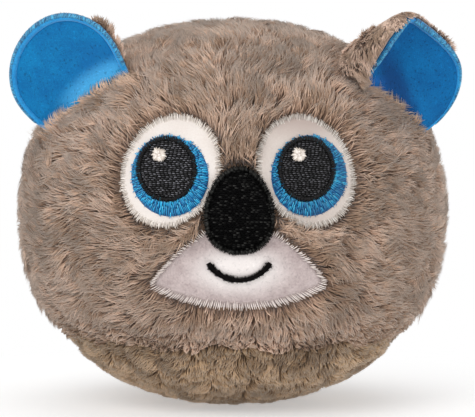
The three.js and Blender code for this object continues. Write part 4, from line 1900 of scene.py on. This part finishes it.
    def local(self, points: Array) -> Array:
        """Points in the ear's own axes of points in space."""
        return ((points - self.origin) @ self.axes.T) * [self.side.value, 1, 1]

    def cells(self, local: Array) -> tuple[Array, Array]:
        """Sorts places into cells.

        Args:
            local: places in the ear's own axes.

        Returns:
            Their cells across and up.
        """
        wide, tall = self.cell_counts
        across = np.clip(np.floor((local[..., 0] - self.cell_start) / self.cell), 0, wide - 1).astype(int)
        return across, np.clip(np.floor(local[..., 2] / self.cell), 0, tall - 1).astype(int)

    def covered(self) -> Array:
        """Finds how far forwards and back the ear reaches in each cell.

        Returns:
            The foremost and the rearmost depths of its surface, and a metre where it has none.
        """
        rise = np.repeat(np.linspace(0, 1, 140) * self.height, 260)
        along = np.tile(np.linspace(-1, 1, 260), 140)
        places = self.surface(np.stack([along * self.half_width * self.width_share(rise), rise], axis=1))
        across, up = self.cells(places)
        depths = []
        for sign in (1, -1):
            depth = np.full(np.array(self.cell_counts) + 2, 1.0)
            np.minimum.at(depth, (across + 1, up + 1), sign * places[:, 1])
            near = np.min([np.roll(depth, (i, k), (0, 1)) for i in (-1, 0, 1) for k in (-1, 0, 1)], axis=0)
            depths.append(sign * near[1:-1, 1:-1])
        return np.array(depths)

    def outline(self, inset: float, start: float) -> Array:
        """The ear's flat outline, counter-clockwise from the outer end of its base.

        Args:
            inset: how far it is drawn in.
            start: height of its base.

        Returns:
            Its points.
        """
        way = np.linspace(1, -1, 97)
        rise = start + np.sin(math.pi / 2 * (1 - np.abs(way))) * (self.height - inset - start)
        across = np.sign(way) * (self.half_width - inset) * self.width_share(rise, inset)
        return np.stack([across, rise], axis=1)

    def sheet(self, name: str, inset: float, start: float, front: float, puff: float, thickness: float) -> Piece:
        """One layer of the ear.

        Args:
            name: the piece's name.
            inset: of its outline.
            start: height of its base.
            front: distance of its front face before the middle surface.
            puff: how much more its middle stands out.
            thickness: behind that face.

        Returns:
            The closed piece.
        """
        piece = disc(name, 16)
        flat, radius = stretch(piece, even_ring(self.outline(inset, start), 192), np.array([0, self.widest_at]))
        flared = 0.0
        if self.flare and puff:
            line = self.flare_line - self.flare_slope * np.abs(flat[:, 0] - self.flare_middle)
            flared = self.flare * ease(line - flat[:, 1], 0.0, self.flare_fade) * ease(radius, 1.0, 0.8)
        behind = self.bulge(flat) if front < 0 else 0.0
        reshape(piece, self.offset(flat, front + puff * (1 - radius**2) + flared - behind))
        thicken(piece, thickness, -self.axes[1])
        return piece

    def bulge(self, flat: Array) -> Array:
        """How far the folded ear's back stands out behind.

        Args:
            flat: (across, height) places.

        Returns:
            One distance for each.
        """
        if not self.folded:
            return np.zeros(len(flat))
        room = np.minimum(self.half_width * self.width_share(flat[:, 1]) + flat[:, 0], self.height - flat[:, 1])
        inner, high = ease(-flat[:, 0], *self.bulge_across), ease(flat[:, 1], *self.bulge_high)
        return self.bulge_most * inner * ease(room, *self.bulge_room) * high

    def crest(self, flat: Array) -> Array:
        """Share of the folded ear's pile that shows beyond its rim."""
        return ease(flat[:, 0], *self.crest_across) * ease(flat[:, 1], *self.crest_high) * float(self.folded)

    def part_pile(self, paths: Array) -> Array:
        """Keeps the body's pile out of the ear.

        Args:
            paths: the hairs' points in space.

        Returns:
            The same hairs, pressed against the ear's front or back where they would cross it.
        """
        local = self.local(paths.reshape(-1, 3)).reshape(paths.shape)
        root = local[:, :1]
        aside, deep, low = self.pile_reach
        near = (np.abs(local[..., 0]) < self.half_width + aside) & (np.abs(local[..., 1]) < deep)
        zone = near & (local[..., 2] > low)
        ahead = root[..., 1] < 0
        fore, rear = self.cover[(slice(None), *self.cells(local))]
        front_limit, back_limit = fore - self.pile_ahead - self.flare * 0.8, rear + self.pile_behind
        pressed = np.where(ahead, np.minimum(local[..., 1], front_limit), np.maximum(local[..., 1], back_limit))
        local[..., 1] = np.where(zone, pressed, local[..., 1])
        line = self.pile_line + self.pile_slope * local[..., 0]
        tall = zone & ahead & (local[..., 2] > line)
        local[..., 2] = np.where(tall, line + self.pile_squash * (local[..., 2] - line), local[..., 2])
        local[..., 0] = np.where(tall, root[..., 0] + self.pile_narrow * (local[..., 0] - root[..., 0]), local[..., 0])
        return self.world(local.reshape(-1, 3)).reshape(paths.shape)

    def build(self) -> None:
        """Builds the whole ear."""
        word = self.side.word
        inset = self.rim * min(self.rim_profile)
        lining = self.sheet(f"ear_velour_{word}", inset, 0.0002, 0.0010, 0.0002, 0.0007)
        dress(lining, self.finishes.velour[self.side], "ear_lining", f"ear_lining_{word}", body=self.body, fill=0.3)
        self.roll()
        back = self.sheet(f"ear_back_cloth_{word}", 0.001, 0.0, -0.0002, 0.0, 0.0007)
        dress(back, self.finishes.ear_skin, "coat", f"ear_back_{word}", body=self.body, fill=0.3)
        self.back_pile()
        self.root()

    def roll(self) -> None:
        """Makes the raised rim along the ear's edge."""
        line = even_line(self.outline(0.0001, 0.0), 120)
        away = unit(line - [0, self.widest_at * 0.8])
        size = np.interp(np.linspace(0, 1, len(line)), [0.12, 0.5, 0.86], self.rim_profile)
        half = self.rim / 2 + 0.0001
        line = line - away * (size * half)[:, None]
        bend = bpy.data.curves.new(f"ear_rim_roll_{self.side.word}", "CURVE")
        bend.dimensions = "3D"
        bend.bevel_depth = half
        bend.bevel_resolution = 4
        bend.use_fill_caps = True
        spline = bend.splines.new("POLY")
        spline.points.add(len(line) - 1)
        for spot, point, share in zip(spline.points, self.offset(line, self.rim_front), size):
            spot.co = (*point, 1)
            spot.radius = share
        piece = bpy.data.objects.new(bend.name, bend)
        bpy.context.scene.collection.objects.link(piece)
        pick(piece)
        bpy.ops.object.convert(target="MESH")
        piece = named(bend.name)
        with editing(piece):
            bpy.ops.mesh.remove_doubles(threshold=0.00001)
        face_out(piece)
        dress(piece, self.finishes.rim, "ear_rim", f"ear_rim_{self.side.word}", body=self.body)
        self.edging(line, size * half)

    def edging(self, line: Array, radius: Array) -> None:
        """Sews the stitches over the rim.

        Args:
            line: the rim's middle line.
            radius: its radius along that line.
        """
        rng = np.random.default_rng(61 + self.side.value)
        count, steps, front = self.edging_stitches, np.linspace(0, 1, 5), self.rim_front
        at = np.linspace(0.08, 0.96, count) + rng.normal(0, 0.0005, count)
        run = np.linspace(0, 1, len(line))
        flat = between(at, run, line)
        thick = np.interp(at, run, radius) + 0.00005
        middle = self.offset(flat, front)
        ahead = unit(self.offset(flat, front + 0.001) - middle)
        aside = self.towards(flat, unit(flat - [0, self.widest_at * 0.8]) * self.step, front)
        along = np.cross(ahead, aside) * np.where(np.arange(count) % 2, 1, -1)[:, None]
        turn = steps * rng.uniform(1.3, 1.7, (count, 1)) + rng.uniform(0.1, 0.4, (count, 1))
        turn = (turn + (1.2 * ease(at, 0.53, 0.64)[:, None] if self.folded else 0.0))[..., None]
        paths = (
            middle[:, None] + thick[:, None, None] * (ahead[:, None] * np.cos(turn) + aside[:, None] * np.sin(turn))
            + along[:, None] * (0.00056 * steps - 0.00028)[None, :, None]
        )
        half = np.tile(self.edging_half * (0.5 + 0.5 * np.sin(steps * math.pi)), (count, 1))
        name = f"ear_edging_{self.side.word}"
        piece = strands(name, paths, ahead + aside, half, rng.uniform(0, 1, count), 0.8, 4, False)
        dress(piece, self.finishes.edging, "ear_rim", body=self.body)

    def back_pile(self) -> None:
        """Grows the short pile on the ear's back and round its edge."""
        rng = np.random.default_rng(71 + self.side.value)
        count = self.back_hairs * 2
        flat = np.stack([rng.uniform(-1, 1, count) * self.half_width, rng.uniform(0.0, 1, count) * self.height], axis=1)
        room = np.minimum(self.half_width * self.width_share(flat[:, 1]) - np.abs(flat[:, 0]),
                          (self.height - flat[:, 1]) * 0.9)
        inner = ease(-flat[:, 0], *self.fringe) * ease(self.height - flat[:, 1], 0.001, 0.004)
        keep = room > 0.0016 + (0.0002 if self.folded else -0.0014) * inner - 0.001 * self.crest(flat)
        flat, room, inner = (rows[keep][:self.back_hairs] for rows in (flat, room, inner))
        crest = self.crest(flat)
        behind = -self.back_sunk - self.bulge(flat)
        roots = self.offset(flat, behind)
        normals = unit(roots - self.offset(flat, behind + 0.0005))
        rise = self.towards(flat, [0, 0.0005], behind)
        outwards = self.towards(flat, unit(flat - [0, self.widest_at * 0.6]) * self.step, behind)
        edge = ease(room, 0.0065, 0.0015) * (1 - inner) * (1 - crest)
        height = self.back_height * (1 - 0.7 * edge)
        shorter = 0.4 * edge
        if self.folded:
            over = self.towards(flat, [-0.0003, -0.00012], behind)
            outwards = unit(outwards * (1 - inner)[:, None] + over * inner[:, None])
            rise = rise * (1 - 1.5 * inner)[:, None]
            height = height * (1 - 0.8 * ease(flat[:, 1], 0.008, 0.017))
        else:
            height = height + 0.0004 * inner * ease(room, 0.001, 0.005)
            shorter = shorter + 0.4 * inner
        comb = unit(rise * 0.5 + outwards * (1 - 2.1 * edge)[:, None])
        grower = Pile(self.back_style)
        sweep = self.back_style.sweep * (1 - shorter) * (1 - 0.58 * crest)
        paths, tones = grower.paths(roots, normals, comb, height, sweep)
        piece = grower.grow(f"ear_back_pile_{self.side.word}", paths, normals, tones)
        dress(piece, self.finishes.ear_back, "coat", body=self.body)

    def root(self) -> None:
        """Makes the cloth between the ear and the body."""
        alone()
        bpy.ops.mesh.primitive_cube_add(size=1.0)
        piece = named(f"ear_root_{self.side.word}")
        with editing(piece):
            bpy.ops.mesh.subdivide(number_cuts=11)
        side, front, up = corners(piece).T
        half = self.half_width * self.base_share - 0.0006
        rise = self.root_low + (up + 0.5) * (self.root_high - self.root_low)
        across = side * 2 * half * (1 + 0.1 * (0.5 - up))
        round_off = np.sqrt(np.maximum(0.02, 1 - (side * 2) ** 4))
        thick = front * (self.root_front + 0.0012 * (0.5 - up)) * round_off
        reshape(piece, self.world(np.stack([across, thick, rise], axis=1)))
        face_out(piece)
        piece.data.materials.append(self.finishes.skin)
        low, high = self.world(np.array([[0, 0, rise] for rise in self.root_bend]))
        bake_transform(piece)
        LOG.info("%s: %d faces", piece.name, len(piece.data.polygons))


# The studio


@dataclass
class Studio:
    """Floor, light and camera."""

    distance: float = 0.7
    lens: float = 220.0
    sensor: float = 36.0
    azimuth: float = -2.0
    elevation: float = 4.0
    target: float = 0.04625
    image: tuple[int, int] = (475, 417)
    body_pixel: Pair = (232.5, 210.5)
    sky_level: float = 0.62
    floor_base: float = 0.8
    floor_glow: float = 0.38
    floor_size: float = 12.0
    shadow_until: Pair = (0.03, 0.11)
    lamps: tuple[tuple[str, Triple, float, float], ...] = (
        ("key", (-0.35, -0.6, 0.5), 0.5, 2.5),
        ("fill", (0.55, -0.6, 0.12), 0.6, 1.4),
        ("top", (0.16, 0.1, 0.8), 0.8, 1.15),
    )

    def camera(self) -> None:
        """Places the camera so that the body lies where the photograph has it."""
        a, e = math.radians(self.azimuth), math.radians(self.elevation)
        back = Vector((math.sin(a) * math.cos(e), -math.cos(a) * math.cos(e), math.sin(e)))
        right = Vector((0, 0, 1)).cross(back).normalized()
        up = back.cross(right)
        scale = self.distance * self.sensor / self.lens / self.image[0]
        data = bpy.data.cameras.new("camera")
        data.lens = self.lens
        data.sensor_width = self.sensor
        data.clip_start = 0.05
        place = (
            Vector((0, 0, self.target)) + back * self.distance
            + right * ((self.image[0] / 2 - self.body_pixel[0]) * scale)
            + up * ((self.body_pixel[1] - self.image[1] / 2) * scale)
        )
        bpy.context.scene.camera = self.hang("camera", data, place, -back)

    def hang(self, name: str, data: bpy.types.ID, place: Vector, way: Vector) -> bpy.types.Object:
        """Hangs a camera or a lamp.

        Args:
            name: its name.
            data: its settings.
            place: where it hangs.
            way: where it looks.

        Returns:
            The new object.
        """
        item = bpy.data.objects.new(name, data)
        bpy.context.scene.collection.objects.link(item)
        item.location = place
        item.rotation_mode = "QUATERNION"
        item.rotation_quaternion = way.to_track_quat("-Z", "Y")
        return item

    def lamp(self, name: str, place: Triple, size: float, power: float) -> None:
        """Adds a soft lamp that looks at the toy.

        Args:
            name: its name.
            place: where it hangs.
            size: its edge length.
            power: in watts.
        """
        data = bpy.data.lights.new(name, "AREA")
        data.size = size
        data.energy = power
        self.hang(name, data, Vector(place), Vector((0, 0, self.target)) - Vector(place))

    def sky(self) -> None:
        """Makes a sky that is white to the camera and in gloss, and soft light to everything else."""
        world = bpy.data.worlds.new("studio")
        bpy.context.scene.world = world
        world.use_nodes = True
        nodes = Nodes(world.node_tree)
        soft, white = (nodes.add("ShaderNodeBackground", {0: (1, 1, 1, 1), 1: level}).outputs[0]
                       for level in (self.sky_level, 1.0))
        mix = nodes.add("ShaderNodeMixShader", {0: nodes.seen(), 1: soft, 2: white})
        nodes.add("ShaderNodeOutputWorld", {0: mix.outputs[0]})

    def floor(self) -> None:
        """Lays a pale floor that turns white away from the toy."""
        alone()
        bpy.ops.mesh.primitive_plane_add(size=self.floor_size, location=(0, 0, 0))
        piece = named("floor")
        nodes = Dye("floor")
        nodes.feed(nodes.shader, {
            "Base Color": (*(self.floor_base,) * 3, 1), "Roughness": 0.9, "Specular IOR Level": 0.0,
            "Emission Color": (1, 1, 1, 1), "Emission Strength": self.floor_glow,
        })
        white = {0: nodes.step(nodes.place(), *self.shadow_until), 1: nodes.seen()}
        share = nodes.add("ShaderNodeMath", white, operation="MULTIPLY").outputs[0]
        glow = nodes.add("ShaderNodeEmission").outputs[0]
        mix = nodes.add("ShaderNodeMixShader", {0: share, 1: nodes.shader.outputs[0], 2: glow})
        nodes.feed(nodes.out, {0: mix.outputs[0]})
        piece.data.materials.append(nodes.material)

    def build(self) -> None:
        """Builds the studio."""
        self.camera()
        self.sky()
        self.floor()
        for lamp in self.lamps:
            self.lamp(*lamp)
        bpy.context.scene.view_settings.view_transform = "Standard"


def main() -> None:
    """Builds the studio and the toy."""
    logging.basicConfig(level=logging.INFO, format="%(name)s %(message)s")
    Studio().build()
    finishes = Finishes()
    ears = [
        Ear(finishes, Side.LEFT, (0.5, 0, 0.86),
            ((-0.0171, 0.0004), (-0.0095, 0.0012), (-0.0025, 0.0015), (0.0058, 0.001), (0.0124, 0)), -0.004,
            flare=0.0018, pile_line=0.0033, pile_slope=0.1),
        Ear(finishes, Side.RIGHT, (0.575, 0, 0.818),
            ((-0.0134, -0.007), (-0.0154, -0.0028), (-0.0133, 0.0016), (-0.007, 0.0042), (0.0034, 0.0032),
             (0.0136, 0.001)), -0.006, fringe=(-0.003, 0.004), folded=True, rim_profile=(0.35, 0.85, 0.55),
            pile_line=0.0046, pile_squash=0.12, top_squash=0.7, inner_draw=0.0032, tilt=0.06),
    ]
    eyes = [Eye(finishes, side) for side in Side]
    for part in (StuffedBody(finishes, ears), *eyes, Muzzle(finishes), Nose(finishes), *ears):
        part.build()


if __name__ == "__main__":
    main()
